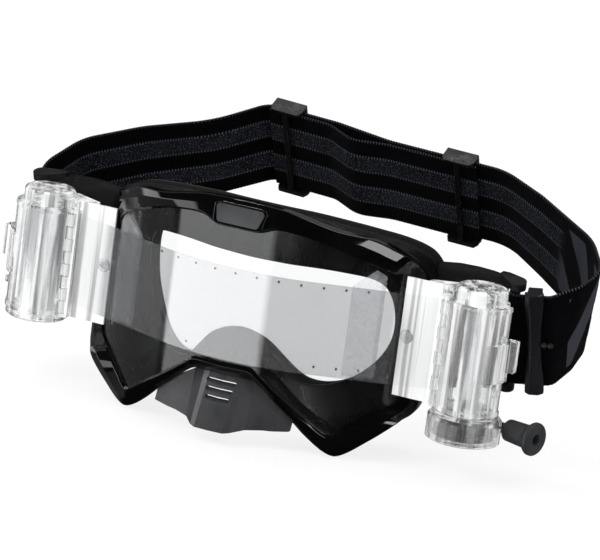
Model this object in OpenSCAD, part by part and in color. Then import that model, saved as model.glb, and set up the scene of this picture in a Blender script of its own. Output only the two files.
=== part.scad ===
/* [Lens and film] */
// Radius of the cylinder that the lens is bent to
lens_r = 91; // [88:1:98]
// Thickness of the lens
lens_t = 1.2; // [0.8:0.1:1.6]
// Margin of the lens hidden under the rim
lens_margin = 2.6; // [2.2:0.1:3]
// Width of the film
film_w = 40; // [34:1:42]
// Thickness of the film
film_t = 0.15; // [0.1:0.05:0.2]
// Distance that the film is held off the lens
film_gap = 0.75; // [0.7:0.05:1.2]
// Radius of one lens bump
bump_r = 0.55; // [0.4:0.05:0.6]
// Angle between two lens bumps of a row
bump_step = 6; // [5:1:8]

/* [Frame] */
// Clearance between lens and frame
lens_clear = 0.25; // [0.15:0.05:0.35]
// Height of the rim in front of the lens
rim_proud = 2.2; // [1.8:0.1:2.8]
// Depth of the rim behind the lens surface
rim_depth = 9; // [7:0.5:10]
// Wall of the rear frame
rear_wall = 2.6; // [2:0.1:3.2]
// Thickness of the badge plate
badge_t = 1.6; // [1.2:0.1:2.2]
// Half length of the badge plate
badge_half = 10.7; // [8:0.1:12]
// Thickness of the nose guard
guard_t = 2.2; // [1.8:0.1:3]

/* [Foam] */
// Thickness of the base foam
foam_base_t = 5; // [3:0.5:6]
// Thickness of the soft foam
foam_soft_t = 5.4; // [4:0.2:7]
// Thickness of the fleece
fleece_t = 1.8; // [1.2:0.1:2.5]

/* [Canisters] */
// Distance of each canister axis from the middle
can_x = 100; // [98:0.5:102]
// Depth of the canister axes behind the lens apex
can_d = 29.2; // [28:0.2:30]
// Outer radius of the canister door
door_r = 13.6; // [13:0.1:14.2]
// Wall of housing and door
can_wall = 1.3; // [1:0.1:1.6]
// Height of the canister body above the film
can_head = 2; // [1.8:0.1:4]
// Depth of the canister body below the film
can_foot = 6; // [4:0.5:8]
// Radius of the top cap
cap_r = 11; // [9:0.5:11.5]
// Height of the top cap
cap_h = 6; // [4:0.5:8]
// Radius of the film roll on the supply spool
supply_roll_r = 9.3; // [6:0.1:9.6]
// Radius of the film roll on the take-up spool
takeup_roll_r = 5.3; // [4.5:0.1:9]
// Radius of the spool core
core_r = 3.5; // [3:0.1:4]
// Radius of the spool shaft
shaft_r = 2.2; // [1.8:0.1:2.6]
// Running clearance of shafts and pins, on the radius
run_clear = 0.05; // [0.03:0.01:0.08]

/* [Pull drive] */
// Outer radius of the pulley housing
drum_r = 15.8; // [15.4:0.1:17]
// Height of the pulley housing
drum_h = 10.2; // [10:0.1:12]
// Radius at which the cord winds
wind_r = 12.1; // [11.8:0.1:12.4]
// Diameter of the pull cord
cord_d = 1.1; // [0.9:0.1:1.2]
// Rise of the cord winding per turn
wind_pitch = 1.6; // [1.55:0.05:1.8]
// Turns of cord on the pulley
wind_turns = 1.75; // [1:0.25:1.75]
// Angle at which the cord leaves, forward of straight outboard
cord_angle = 19; // [10:1:25]
// Length of the pull handle
handle_len = 15.4; // [14:0.2:28]
// Radius of the flared end of the handle
flare_r = 7.2; // [6:0.1:8]

/* [Strap] */
// Width of the strap
strap_w = 43; // [38:1:45]
// Thickness of the strap
strap_t = 1.6; // [1.2:0.1:1.8]
// Angle by which the strap rises behind
strap_tilt = 28; // [24:1:30]
// Length of a slider along the strap
slider_l = 15; // [12:1:17]
// Distance from a slider to what it must clear
slider_clear = 0.35; // [0.3:0.05:0.5]

/* [Hidden] */
$fn = 96;

// Origin: middle of the face opening, this far behind the lens apex
apex_y = -40;
film_r = lens_r + film_gap;

// Outline of the lens window, right half, from the brow to the nose arch (across, up)
WINDOW = [[0, 37.3], [10, 37.3], [18, 39.9], [33, 37.9], [47, 33], [56, 29], [62, 25.5], [67.5, 18.5],
    [70.7, 10], [72, 0], [71.5, -16], [69.4, -29.3], [63, -34], [57, -38.3], [52, -42.2], [46.8, -45.7],
    [39, -40.4], [31, -35], [22, -28.5], [15.5, -23.4], [12, -21.4], [0, -21.4]];
// Outline of the rim, matched point by point to the window
RIM = [[0, 48.5], [12.5, 48], [22, 46.9], [40, 42.6], [52, 40.7], [60.5, 37], [69, 32], [73.4, 23.6],
    [76, 11], [77.2, 0], [77.2, -16], [76.2, -32.2], [73, -36.4], [69.4, -40.2], [59.6, -48.8], [49, -55.6],
    [39, -50], [32, -43.2], [24.5, -36.4], [17.5, -30.2], [12, -27.5], [0, -27.5]];
// Outline of the foam's outer edge, matched point by point
FOAM_OUT = [[0, 42.8], [12, 42.8], [22, 42.7], [36, 41.4], [50, 39.4], [60, 37.2], [69.5, 33], [74.5, 24.6],
    [77, 12], [78, 0], [77.5, -14], [76, -28], [71, -36], [66, -42], [58, -47], [49, -50.5],
    [39, -46.5], [32, -41], [25, -34.5], [18, -28.5], [12, -25.5], [0, -24]];
// Outline of the face opening, matched point by point
FOAM_IN = [[0, 21], [10, 21.2], [19, 21.4], [30, 21.4], [41, 20.6], [49, 19.2], [54, 15.8], [56.6, 9.8],
    [57.6, 3], [57.6, -3], [56.8, -9], [54.6, -15], [51.6, -20], [48, -24], [44, -27], [38.5, -29.6],
    [32.5, -30.6], [26.5, -29.2], [21.5, -25], [16.5, -19], [10, -12.5], [0, -9.5]];
// Depth of the wearer's face behind the lens apex, matched point by point
FACE_D = [34, 34.3, 35.2, 38.8, 43.8, 48.6, 53.2, 57, 59.8, 61.3, 61.8, 61, 58.6, 55, 50.8, 46,
    41, 36, 31.5, 27, 22.5, 20.5];
// Share of the full foam thickness, matched point by point: the foam thins out over the nose
FOAM_SHARE = [1, 1, 1, 1, 1, 1, 1, 1, 1, 1, 1, 1, 1, 1, 1, 1, 1, 0.95, 0.85, 0.74, 0.64, 0.6];

// Depth of the lens surface behind its apex at a distance across
function lens_d(x) = lens_r - sqrt(max(0, lens_r * lens_r - x * x));
function mirrored(h) = concat(h, [for (i = [len(h) - 2 : -1 : 1]) [-h[i][0], h[i][1]]]);
function mirrored_n(h) = concat(h, [for (i = [len(h) - 2 : -1 : 1]) h[i]]);
// One extra point on a smooth curve between each two points of a closed loop
function at(l, i) = l[(i + len(l)) % len(l)];
function between(l, i) = (at(l, i) + at(l, i + 1)) * 0.5625 - (at(l, i - 1) + at(l, i + 2)) * 0.0625;
function finer(l) = [for (i = [0 : len(l) - 1]) each [l[i], between(l, i)]];
function unit(v) = v / norm(v);
function outward(l, i) = let (t = unit(at(l, i + 1) - at(l, i - 1))) [-t[1], t[0]];
function grown(l, s) = [for (i = [0 : len(l) - 1]) l[i] + outward(l, i) * s];

window = finer(mirrored(WINDOW));
rim = finer(mirrored(RIM));
foam_out = finer(mirrored(FOAM_OUT));
foam_in = finer(mirrored(FOAM_IN));
face_d = finer(mirrored_n(FACE_D));
share = finer(mirrored_n(FOAM_SHARE));
foam_t = foam_base_t + foam_soft_t + fleece_t;
layer_gap = 0.3;

// Point with its depth counted from the lens surface, or from the apex
function on_lens(p, d) = [p[0], lens_d(p[0]) + d, p[1]];
function in_lens(p, d) = [p[0], lens_r - sqrt((lens_r - d) * (lens_r - d) - p[0] * p[0]), p[1]];
function at_depth(p, d) = [p[0], d, p[1]];

// Everything below is drawn with depth counted from the lens apex
module from_apex() {
    translate([0, apex_y, 0]) children();
}

// Closed ring through a loop of equal sections; leaning splits each face along its other diagonal
module ring(sections, leaning = false) {
    m = len(sections);
    k = len(sections[0]);
    polyhedron(points = [for (s = sections) each s],
        faces = [for (i = [0 : m - 1]) for (j = [0 : k - 1])
            let (a = i * k + j, b = i * k + (j + 1) % k, c = ((i + 1) % m) * k + j,
                d = ((i + 1) % m) * k + (j + 1) % k)
            each (leaning ? [[a, c, b], [b, c, d]] : [[a, c, d], [a, d, b]])], convexity = 8);
}

// Capped bar through a row of equal sections
module bar(sections) {
    m = len(sections);
    k = len(sections[0]);
    polyhedron(points = [for (s = sections) each s],
        faces = concat(
            [for (i = [0 : m - 2]) for (j = [0 : k - 1])
                let (a = i * k + j, b = i * k + (j + 1) % k, c = (i + 1) * k + j, d = (i + 1) * k + (j + 1) % k)
                each [[a, c, d], [a, d, b]]],
            [[for (j = [0 : k - 1]) j]],
            [[for (j = [k - 1 : -1 : 0]) (m - 1) * k + j]]), convexity = 8);
}

// Plate cut from an outline and seen from the front, from depth d0 to depth d1
module facing(outline, d0, d1) {
    translate([0, d1, 0]) rotate([90, 0, 0]) linear_extrude(d1 - d0) polygon(outline);
}

// Upright cylinder round the lens axis
module lens_cylinder(r, z0 = -80, z1 = 80) {
    translate([0, lens_r, z0]) cylinder(r = r, h = z1 - z0, $fn = 180);
}

// Window outline moved outwards along the lines to the rim's matched points
function widened(d) = [for (i = [0 : len(window) - 1]) window[i] + unit(rim[i] - window[i]) * d];
seal_t = 1.2;
pocket = lens_margin + 2 * lens_clear;
pocket_d = lens_t + seal_t + layer_gap;
// The rim is lower where a canister wing lies over its upper corner
wing_dip = 3.5;
dip_x = 66;
dip_z = film_w / 2 + 1.5;
dip_r = 9;
function dip(w) = wing_dip * max(0, 1 - norm([abs(w[0]) - dip_x, w[1] - dip_z]) / dip_r);

// The rim's front: a narrow lip beside the window, then a slope to a ridge and a steeper one to the outline
lip_w = 1.2;
lip_step = 0.9;
lip_least = 0.38;
ridge_share = 0.62;
ridge_back = 2.2;
module front_frame() {
    color("#0b0b0d") from_apex() ring([for (i = [0 : len(window) - 1])
        let (w = window[i], o = rim[i], n = unit(o - w), far = norm(o - w), low = dip(w), d = lens_d(w[0]))
        [on_lens(w, min(low - rim_proud + lip_step, -lens_clear - lip_least)),
            on_lens(w + n * lip_w, min(low - rim_proud, -lens_clear - lip_least)),
            at_depth(w + n * far * ridge_share, d + low + ridge_back - rim_proud),
            at_depth(o, d + low + ridge_back + 1), at_depth(o - n * 0.5, d + rim_depth),
            in_lens(w + n * pocket, pocket_d), in_lens(w + n * pocket, -lens_clear), in_lens(w, -lens_clear)]]);
}

// The rear frame starts behind the rim and the lens seal, and its rear edge carries the foam
press_t = 1.5;
vent_w = 15;
vent_d = 4.4;
vent_xs = [12, 33];
// Carries its children to each vent in the top of the rear frame
module at_vents() {
    for (s = [-1, 1]) for (x = vent_xs)
        translate([s * x, 14 + lens_d(x) * 0.8, 42]) rotate([0, s * 7, 0]) children();
}
function front_depth(i) = lens_d(window[i][0]) + rim_depth + layer_gap;
function foam_depth(i) = foam_t * share[i];
function face_depth(i) = max(face_d[i], front_depth(i) + rear_wall + 0.4 + foam_depth(i) + layer_gap);

module rear_frame() {
    back = pocket_d + layer_gap;
    color("#1c1d1f") from_apex() difference() {
        ring([for (i = [0 : len(window) - 1])
            let (w = window[i], o = rim[i], n = unit(o - w), a = foam_out[i], b = foam_in[i], m = unit(a - b),
                seat_d = face_depth(i) - foam_depth(i) - layer_gap)
            [at_depth(o - n * 0.5, front_depth(i)), at_depth(a + m * 0.4, seat_d - rear_wall),
                at_depth(a + m * 0.4, seat_d), at_depth(b - m * 0.4, seat_d),
                at_depth(b - m * 0.4, seat_d - rear_wall * 0.7), at_depth(a - m * 3.2, seat_d - rear_wall),
                in_lens(w + n * 0.5, back + press_t), in_lens(w + n * 0.5, back),
                in_lens(w + n * pocket, back)]],
            leaning = true);
        at_vents() cube([vent_w, vent_d, 14], center = true);
    }
}

// Arm that carries one end of the strap: sections of (across, top depth, top height, foot depth, foot height)
ARM = [[74.5, 43, 29.5, 46, -25], [82, 43.5, 30.5, 47.5, -24], [90, 44.5, 30.5, 49.5, -22.5],
    [97, 45.2, 30, 51.5, -21.5], [104, 44.8, 29, 54, -21]];
arm_t = 5.5;
module outrigger(side) {
    tip = ARM[len(ARM) - 1];
    color("#131415") from_apex() mirror([side < 0 ? 1 : 0, 0, 0]) difference() {
        union() {
            bar([for (s = ARM) [[s[0], s[1], s[2]], [s[0], s[3], s[4]],
                [s[0], s[3] + arm_t, s[4]], [s[0], s[1] + arm_t, s[2]]]]);
            hull() {
                along_anchor(anchor_len + ear_gap) cylinder(r = ear_r, h = ear_t, $fn = 32);
                translate([tip[0] - ear_l, tip[1] + 0.6, tip[2] - 0.6]) cube([ear_l, arm_t - 1, 2.6]);
            }
            hull() {
                along_anchor(-ear_gap - ear_t) cylinder(r = ear_r, h = ear_t, $fn = 32);
                translate([tip[0] - ear_l, tip[3] + 0.6, tip[4] + 0.2]) cube([ear_l, arm_t - 1, 2.2]);
            }
        }
        facing(grown(foam_out, 0.5), 20, 80);
        along_anchor(-ear_gap)
            cylinder(r = loop_r + strap_t / 2 + slider_clear, h = anchor_len + 2 * ear_gap);
        along_anchor(-ear_gap - ear_hole)
            cylinder(r = anchor_bar_r + run_clear, h = anchor_len + 2 * (ear_gap + ear_hole));
    }
}

bump_h = 0.5;
module lens() {
    color([0.85, 0.9, 0.95, 0.3]) from_apex() union() {
        intersection() {
            difference() {
                lens_cylinder(lens_r);
                lens_cylinder(lens_r - lens_t, -90, 90);
            }
            facing(widened(lens_margin), -2, 60);
        }
        bumps(0);
    }
}

// Two rows of small bumps that hold the film off the lens
module bumps(grow) {
    for (row = [film_w / 2 - 2.2, -film_w / 2 + 3.4]) for (i = [-6 : 6]) {
        translate([0, lens_r, row]) rotate([0, 0, (i + 0.09) * bump_step]) translate([0, 0.4 - lens_r, 0])
            rotate([90, 0, 0])
            cylinder(r1 = bump_r + grow, r2 = bump_r * 0.6 + grow, h = 0.4 + bump_h + grow, $fn = 24);
    }
}

module lens_seal() {
    color("#2a2a2c") from_apex() intersection() {
        difference() {
            lens_cylinder(lens_r - lens_t - 0.1);
            lens_cylinder(lens_r - lens_t - seal_t, -90, 90);
        }
        difference() {
            facing(widened(lens_margin - 0.2), -2, 60);
            facing(widened(0.6), -4, 62);
        }
    }
}

// Bare badge plate, lying on the slope of the rim above the window
badge_slope = 21;
badge_h = 7.8;
module badge_plate() {
    edge = badge_half - 1.6;
    color("#3a3c40") from_apex() translate([0, -0.85, 42.3]) rotate([90 - badge_slope, 0, 0])
        linear_extrude(badge_t) hull() for (s = [-1, 1]) for (u = [-1, 1]) {
            translate([s * (edge - (u < 0 ? 1.2 : 0)), u * (badge_h / 2 - 1.6)]) circle(r = 1.6, $fn = 24);
        }
}

// Nose guard: sections from the middle outward of (across, top height, top depth, foot height, foot depth)
GUARD = [[0, -28, 3.4, -50, -7], [6.5, -28, 3.6, -50, -6.6], [9, -28, 3.9, -49.6, -5],
    [13.5, -28.9, 4.6, -48.6, 1], [20, -33.2, 5.8, -47.9, 4], [24.5, -37.2, 6.9, -47.6, 5.2],
    [31, -43, 8.5, -46.6, 6.8]];
louvres = 3;
louvre_top = -31.5;
louvre_step = 2.8;
louvre_w = 13.8;
louvre_less = 1.4;
louvre_t = 1.1;
module nose_guard() {
    half = [for (s = GUARD) [[s[0], s[2], s[1]], [s[0], s[4], s[3]],
        [s[0], s[4] + guard_t, s[3]], [s[0], s[2] + guard_t, s[1]]]];
    other = [for (i = [len(half) - 1 : -1 : 1]) [for (p = half[i]) [-p[0], p[1], p[2]]]];
    color("#101113") from_apex() difference() {
        bar(concat(other, half));
        for (i = [0 : louvres - 1]) translate([0, 0, louvre_top - i * louvre_step]) rotate([20, 0, 0])
            cube([louvre_w - i * louvre_less, guard_t * 14, louvre_t], center = true);
    }
}

module vent_foam() {
    color("#2f3033") from_apex() at_vents()
        cube([vent_w - 2 * layer_gap, vent_d - 2 * layer_gap, 1.2], center = true);
}

// One layer of face foam between two depths in front of the face, drawn in at its edges by a crown
module foam_layer(near, far, shrink, crown, bulge = 0) {
    ring([for (i = [0 : len(foam_out) - 1])
        let (a = foam_out[i], b = foam_in[i], m = unit(a - b), mid = (a + b) / 2,
            back = face_depth(i), k = share[i])
        [at_depth(a - m * shrink, back - far * k), at_depth(a - m * (shrink - 0.3), back - (near + far) / 2 * k),
            at_depth(a - m * (shrink + crown), back - near * k), at_depth(mid, back - near * k + bulge),
            at_depth(b + m * (shrink + crown), back - near * k),
            at_depth(b + m * (shrink - 0.3), back - (near + far) / 2 * k),
            at_depth(b + m * shrink, back - far * k), at_depth(mid, back - far * k)]]);
}

module foam_base() {
    color("#3b3733") from_apex() foam_layer(foam_soft_t + fleece_t + 1, foam_t - 0.1, 0.5, 0);
}

module foam_soft() {
    color("#4a443e") from_apex() foam_layer(fleece_t + 0.7, foam_soft_t + fleece_t + 0.4, 0.4, 0.5);
}

module face_fleece() {
    color("#17181a") from_apex() foam_layer(0, fleece_t + 0.1, 0.9, 1.2, 0.5);
}

// Canister frame: axis at the origin, outboard to +X, wearer to +Y
module canister(side) {
    from_apex() mirror([side < 0 ? 1 : 0, 0, 0]) translate([can_x, can_d, 0]) children();
}

// Part of a round wall between two angles, counted from outboard towards the wearer
module arc_wall(r0, r1, a0, a1) {
    steps = max(2, ceil((a1 - a0) / 45));
    far = r1 * 2;
    intersection() {
        difference() {
            circle(r = r1);
            circle(r = r0);
        }
        polygon(concat([[0, 0]], [for (i = [0 : steps])
            let (a = a0 + (a1 - a0) * i / steps) [far * cos(a), far * sin(a)]]));
    }
}

can_top = film_w / 2 + can_head;
can_bottom = -film_w / 2 - can_foot;
can_r = door_r - can_wall;
wing_in = 67.2 - can_x;
wing_d = 26.8 - can_d;
wing_t = 1.2;
wing_end = 83 - can_x;
wing_top = can_top + 3.7;
post_x = 70.2;
post_r = 1.6;
post_head_r = 3;
hinge_a = 200;
hinge_r = door_r + 0.9;
pin_r = 0.7;
knuckle_r = 1.6;
hinge = [hinge_r * cos(hinge_a), hinge_r * sin(hinge_a)];
knuckle_h = 5.2;
knuckles = 8;
rail_w = 1;
rail_x = hinge[0] - knuckle_r - 0.25;
back_a0 = 14;
back_a1 = 150;
door_a0 = 207;
door_a1 = 368;
disc_t = 1.5;
cap_clear = 0.1;

module housing() {
    lip = [wing_end, wing_d];
    difference() {
        union() {
            translate([0, 0, can_bottom]) linear_extrude(can_top - can_bottom)
                arc_wall(can_r - can_wall, can_r, back_a0, back_a1);
            translate([0, 0, can_bottom]) cylinder(r = can_r, h = disc_t);
            translate([0, 0, can_top - disc_t]) cylinder(r = can_r, h = disc_t);
            translate([0, 0, can_bottom]) linear_extrude(wing_top - can_bottom)
                polygon([[wing_in, wing_d], lip, [lip[0] + 0.9, wing_d + 0.7], [lip[0] + 7.4, wing_d + 9.4],
                    [lip[0] + 6.2, wing_d + 10.6], [lip[0] - 0.6, wing_d + wing_t], [wing_in, wing_d + wing_t]]);
            for (z = [can_bottom, wing_top - disc_t]) translate([0, 0, z]) linear_extrude(disc_t)
                polygon([[wing_in, wing_d], lip, [hinge[0] + 2.6, wing_d - 2], [-8, -1], [-9.5, 8.6],
                    [wing_in + 10, wing_d + 4.5], [wing_in + 9, wing_d + wing_t], [wing_in, wing_d + wing_t]]);
            translate([0, 0, can_top - disc_t]) linear_extrude(wing_top - can_top + disc_t)
                arc_wall(cap_r, cap_r + 1.2, 120, 215);
            for (i = [0 : 2 : knuckles - 1]) translate([0, 0, knuckle_z(i)]) {
                translate([hinge[0], hinge[1], 0]) cylinder(r = knuckle_r, h = knuckle_h - 0.2, $fn = 32);
                translate([rail_x, hinge[1] - 0.6, 0]) cube([hinge[0] - rail_x - 0.9, 1.5, knuckle_h - 0.2]);
            }
            translate([rail_x - rail_w, hinge[1] - 0.6, can_bottom]) cube([rail_w, 1.5, wing_top - can_bottom]);
            for (z = [can_bottom, can_top - disc_t]) translate([0, 0, z]) linear_extrude(disc_t)
                polygon([[rail_x - rail_w, hinge[1] - 0.6], [hinge[0] + 0.4, hinge[1] - 1.4], [-7, -3], [-8, 4],
                    [rail_x - rail_w, wing_d + 1]]);
        }
        translate([0, 0, can_top]) cylinder(r = cap_r + cap_clear, h = cap_h);
        translate([0, 0, can_bottom - 1]) cylinder(r = shaft_r + run_clear, h = disc_t + 2);
        translate([0, 0, can_top - disc_t - 1]) cylinder(r = shaft_r + run_clear, h = disc_t + 2);
        translate([hinge[0], hinge[1], can_bottom - 1])
            cylinder(r = pin_r + run_clear, h = can_top - can_bottom + 2, $fn = 32);
        translate([post_x - can_x, wing_d + 4, 0]) rotate([90, 0, 0]) cylinder(r = post_r + run_clear, h = 8);
    }
}
function knuckle_z(i) = can_bottom + disc_t + 0.5 + i * (can_top - can_bottom - 2 * disc_t - 1) / knuckles;

supply_side = -1;
takeup_side = 1;
module supply_housing() {
    color([0.92, 0.95, 0.97, 0.4]) canister(supply_side) housing();
}

module takeup_housing() {
    color([0.92, 0.95, 0.97, 0.4]) canister(takeup_side) housing();
}

// Door: front and outboard shell, its raised band, finger tab, two snap bumps and every second knuckle
band_a0 = 308;
tab_z = 1.2;
tab_h = 13.4;
module door() {
    z0 = can_bottom + 0.3;
    z1 = can_top - 0.3;
    shell = can_r + 0.15;
    mid = door_r - 0.4;
    difference() {
        union() {
            translate([0, 0, z0]) linear_extrude(z1 - z0) arc_wall(shell, door_r, door_a0, door_a1);
            translate([0, 0, z0 + 0.3]) linear_extrude(2)
                arc_wall(mid, door_r + 0.5, door_a0 + 4, door_a1 - 1);
            translate([0, 0, z1 - 1.9]) linear_extrude(1.6)
                arc_wall(mid, door_r + 0.4, door_a0 + 4, door_a1 - 1);
            translate([0, 0, -10]) linear_extrude(16.6) arc_wall(mid, door_r + 1.7, band_a0, door_a1 - 2);
            translate([0, 0, z0 + 0.6]) linear_extrude(z1 - z0 - 1.2)
                arc_wall(mid, door_r + 0.3, band_a0 + 0.5, band_a0 + 5);
            translate([door_r + 2.6, 0.6, tab_z]) cube([4.6, 4.4, tab_h], center = true);
            for (z = [8.8, -15]) translate([0, 0, z]) rotate([0, 0, -17]) translate([door_r - 0.7, 0, 0])
                rotate([0, 90, 0]) cylinder(r1 = 2, r2 = 1.2, h = 2.2, $fn = 32);
            for (i = [1 : 2 : knuckles - 1]) translate([0, 0, knuckle_z(i) + 0.1]) {
                translate([hinge[0], hinge[1], 0]) cylinder(r = knuckle_r, h = knuckle_h - 0.2, $fn = 32);
                linear_extrude(knuckle_h - 0.2) polygon([[hinge[0] - 0.6, hinge[1] - 1.4],
                    [hinge[0] + 1, hinge[1] - 1.2], [-10.6, -7.2], [-11.6, -6.6]]);
            }
        }
        translate([hinge[0], hinge[1], can_bottom - 1])
            cylinder(r = pin_r + run_clear, h = can_top - can_bottom + 2, $fn = 32);
    }
}

module supply_door() {
    color([0.92, 0.95, 0.97, 0.4]) canister(supply_side) door();
}

module takeup_door() {
    color([0.92, 0.95, 0.97, 0.4]) canister(takeup_side) door();
}

module hinge_pin() {
    translate([hinge[0], hinge[1], can_bottom - 0.4])
        cylinder(r = pin_r, h = can_top - can_bottom + 0.8, $fn = 32);
}

module supply_hinge_pin() {
    color("silver") canister(supply_side) hinge_pin();
}

module takeup_hinge_pin() {
    color("silver") canister(takeup_side) hinge_pin();
}

// Top cap: a shallow cup turned over the upper end of the spool shaft
module cap() {
    z = can_top + 0.05;
    difference() {
        rotate_extrude() polygon([[0, 0], [cap_r, 0], [cap_r, cap_h - 1.1], [cap_r - 0.35, cap_h - 0.35],
            [cap_r - 1.1, cap_h], [0, cap_h]]);
        translate([0, 0, -1]) cylinder(r = cap_r - can_wall, h = cap_h - can_wall + 1);
    }
    difference() {
        translate([0, 0, 0]) cylinder(r = shaft_r + 1.6, h = cap_h - can_wall + 0.1);
        translate([0, 0, -1]) cylinder(r = shaft_r + run_clear, h = 4);
    }
}

module supply_cap() {
    color([0.92, 0.95, 0.97, 0.4]) canister(supply_side) translate([0, 0, can_top + 0.05]) cap();
}

module takeup_cap() {
    color([0.92, 0.95, 0.97, 0.4]) canister(takeup_side) translate([0, 0, can_top + 0.05]) cap();
}

module supply_base() {
    color([0.92, 0.95, 0.97, 0.4]) canister(supply_side) translate([0, 0, can_bottom - 3.15]) difference() {
        rotate_extrude() polygon([[0, 0], [door_r - 1, 0], [door_r - 0.1, 0.8], [door_r - 0.1, 3.1], [0, 3.1]]);
        translate([0, 0, 1.4]) cylinder(r = door_r - 2.2, h = 4);
    }
}

// Spools: shaft and core, with the film roll wound on the core
module core(z0) {
    translate([0, 0, z0]) cylinder(r = shaft_r, h = can_top + 2.6 - z0);
    translate([0, 0, -film_w / 2 - 1.5]) cylinder(r = core_r, h = film_w + 1.8);
}

module film_roll(r) {
    difference() {
        translate([0, 0, -film_w / 2]) cylinder(r = r, h = film_w);
        translate([0, 0, -film_w / 2 - 1]) cylinder(r = core_r + 0.05, h = film_w + 2);
    }
}

module supply_core() {
    color("#d9dbdd") canister(supply_side) core(can_bottom - 0.9);
}

module supply_roll() {
    color([0.8, 0.82, 0.85, 0.8]) canister(supply_side) film_roll(supply_roll_r);
}

module takeup_core() {
    color("#2a2b2d") canister(takeup_side) core(web_top + 0.2);
}

module takeup_roll() {
    color([0.8, 0.82, 0.85, 0.8]) canister(takeup_side) film_roll(takeup_roll_r);
}

// Film: along the lens, straight to the rounded end of each wing, then to the back of the roll
film_lip = [can_x + wing_end + 0.3, can_d + wing_d - 0.35];
function leave_angle() = atan2(film_lip[0], lens_r - film_lip[1])
    - acos(film_r / norm([film_lip[0], lens_r - film_lip[1]]));
function film_start() = [film_r * sin(leave_angle()), lens_r - film_r * cos(leave_angle())];
function film_end(r) = let (c = [can_x, can_d] - film_lip, d = norm(c), s = sqrt(d * d - r * r),
    a = atan2(c[1], c[0]) + asin(r / d)) film_lip + [s * cos(a), s * sin(a)];

leg_t = film_t - 0.04;
module film_leg(r) {
    start = film_start();
    run(start - unit(film_lip - start) * 0.4, film_lip);
    run(film_lip, film_end(r + film_t));
    translate(film_lip) circle(r = film_t / 2, $fn = 24);
}

// Thin strip in plan from one point to another
module run(a, b) {
    d = b - a;
    translate(a) rotate(atan2(d[1], d[0])) translate([0, -leg_t / 2]) square([norm(d), leg_t]);
}

module film_strip() {
    q = leave_angle();
    far = 2 * film_r;
    color([0.9, 0.92, 0.95, 0.3]) from_apex() translate([0, 0, -film_w / 2]) linear_extrude(film_w) {
        intersection() {
            translate([0, lens_r]) difference() {
                circle(r = film_r + film_t / 2, $fn = 180);
                circle(r = film_r - film_t / 2, $fn = 180);
            }
            translate([0, lens_r]) polygon([[0, 0], [-far * sin(q + 0.2), -far * cos(q + 0.2)], [0, -far],
                [far * sin(q + 0.2), -far * cos(q + 0.2)]]);
        }
        film_leg(takeup_roll_r + 0.15);
        mirror([1, 0]) film_leg(supply_roll_r + 0.15);
    }
}

// Clear ramps that stand on the lens and end just behind the film
guide_in = 48.5;
guide_w = 11.5;
guide_out = guide_in + guide_w;
guide_top = film_w / 2 + 8;
guide_foot = 1 - film_w / 2;
function film_at(x) = let (s = film_start(), slope = (film_lip[1] - s[1]) / (film_lip[0] - s[0]))
    s[1] + slope * (x - s[0]);
module film_guides() {
    back = film_gap / 2 + film_t / 2;
    color([0.92, 0.95, 0.97, 0.4]) from_apex() for (side = [0, 1]) mirror([side, 0, 0]) intersection() {
        difference() {
            translate([0, 0, guide_foot]) linear_extrude(guide_top - guide_foot) polygon([
                [guide_in, film_at(guide_in) + back + 1], [guide_in + 1.4, film_at(guide_in + 1.4) + back],
                [guide_out, film_at(guide_out) + back], [guide_out, 34], [guide_in, 34]]);
            lens_cylinder(lens_r + 0.1);
            bumps(0.2);
            mirror([1, 0, 0]) bumps(0.2);
        }
        facing([[guide_in, guide_foot], [guide_out, guide_foot], [guide_out, guide_top - 3],
            [guide_out - 3, guide_top - 1], [guide_in + 8, guide_top - 0.5],
            [guide_in, guide_top - 7.5]], -2, 60);
    }
}

module snap_posts() {
    color([0.95, 0.97, 0.98, 0.6]) from_apex() for (side = [0, 1]) mirror([side, 0, 0]) difference() {
        union() {
            translate([post_x, 40, 0]) rotate([90, 0, 0]) cylinder(r = post_r, h = 40 - can_d - wing_d + 0.1);
            translate([post_x, can_d + wing_d - 0.05, 0]) rotate([90, 0, 0])
                cylinder(r1 = post_head_r, r2 = post_head_r - 0.5, h = 1);
        }
        for (a = [0, 90]) translate([post_x, can_d + wing_d - 1.05, 0]) rotate([0, a, 0])
            cube([3.4, 1, 0.9], center = true);
        lens_cylinder(lens_r + 0.05);
    }
}

// Pull drive under the take-up canister
drum_top = can_bottom - 0.05;
drum_floor = drum_top - drum_h - 1.8;
cord_z = drum_top - 6.05;
cord_foot = [wind_r * sin(cord_angle), wind_r * cos(cord_angle)];
cord_dir = [cos(cord_angle), -sin(cord_angle)];
cover_t = 1.3;
web_top = drum_top - 3.9;
web_t = 1.3;
groove_r = wind_r - cord_d / 2 - 0.1;
pulley_foot = drum_floor + cover_t + 0.4;
axle_r = 2;
sleeve_r = 2.9;

module pulley_housing() {
    neck = drum_top - 1.8;
    color([0.92, 0.95, 0.97, 0.4]) canister(takeup_side) difference() {
        translate([0, 0, drum_floor]) rotate_extrude() polygon([[0, 0], [drum_r, 0], [drum_r, drum_h - 1.2],
            [drum_r - 0.8, drum_h - 0.2], [door_r + 0.2, drum_h], [door_r + 0.2, drum_h + 1.8],
            [0, drum_h + 1.8]]);
        translate([0, 0, drum_floor - 1]) cylinder(r = drum_r - can_wall, h = drum_h + 0.8);
        translate([0, 0, neck - 3]) cylinder(r = shaft_r + run_clear, h = 10);
        translate([0, 0, cord_z]) rotate([0, 0, -cord_angle])
            translate([wall_at + 0.3, wind_r, 0]) rotate([0, 90, 0])
            cylinder(r = bush_head_r + 0.1, h = 6);
        translate([0, 0, cord_z]) rotate([0, 0, -cord_angle]) translate([0, wind_r, 0]) rotate([0, 90, 0])
            cylinder(r = bush_r + run_clear, h = drum_r + 4);
    }
}

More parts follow.
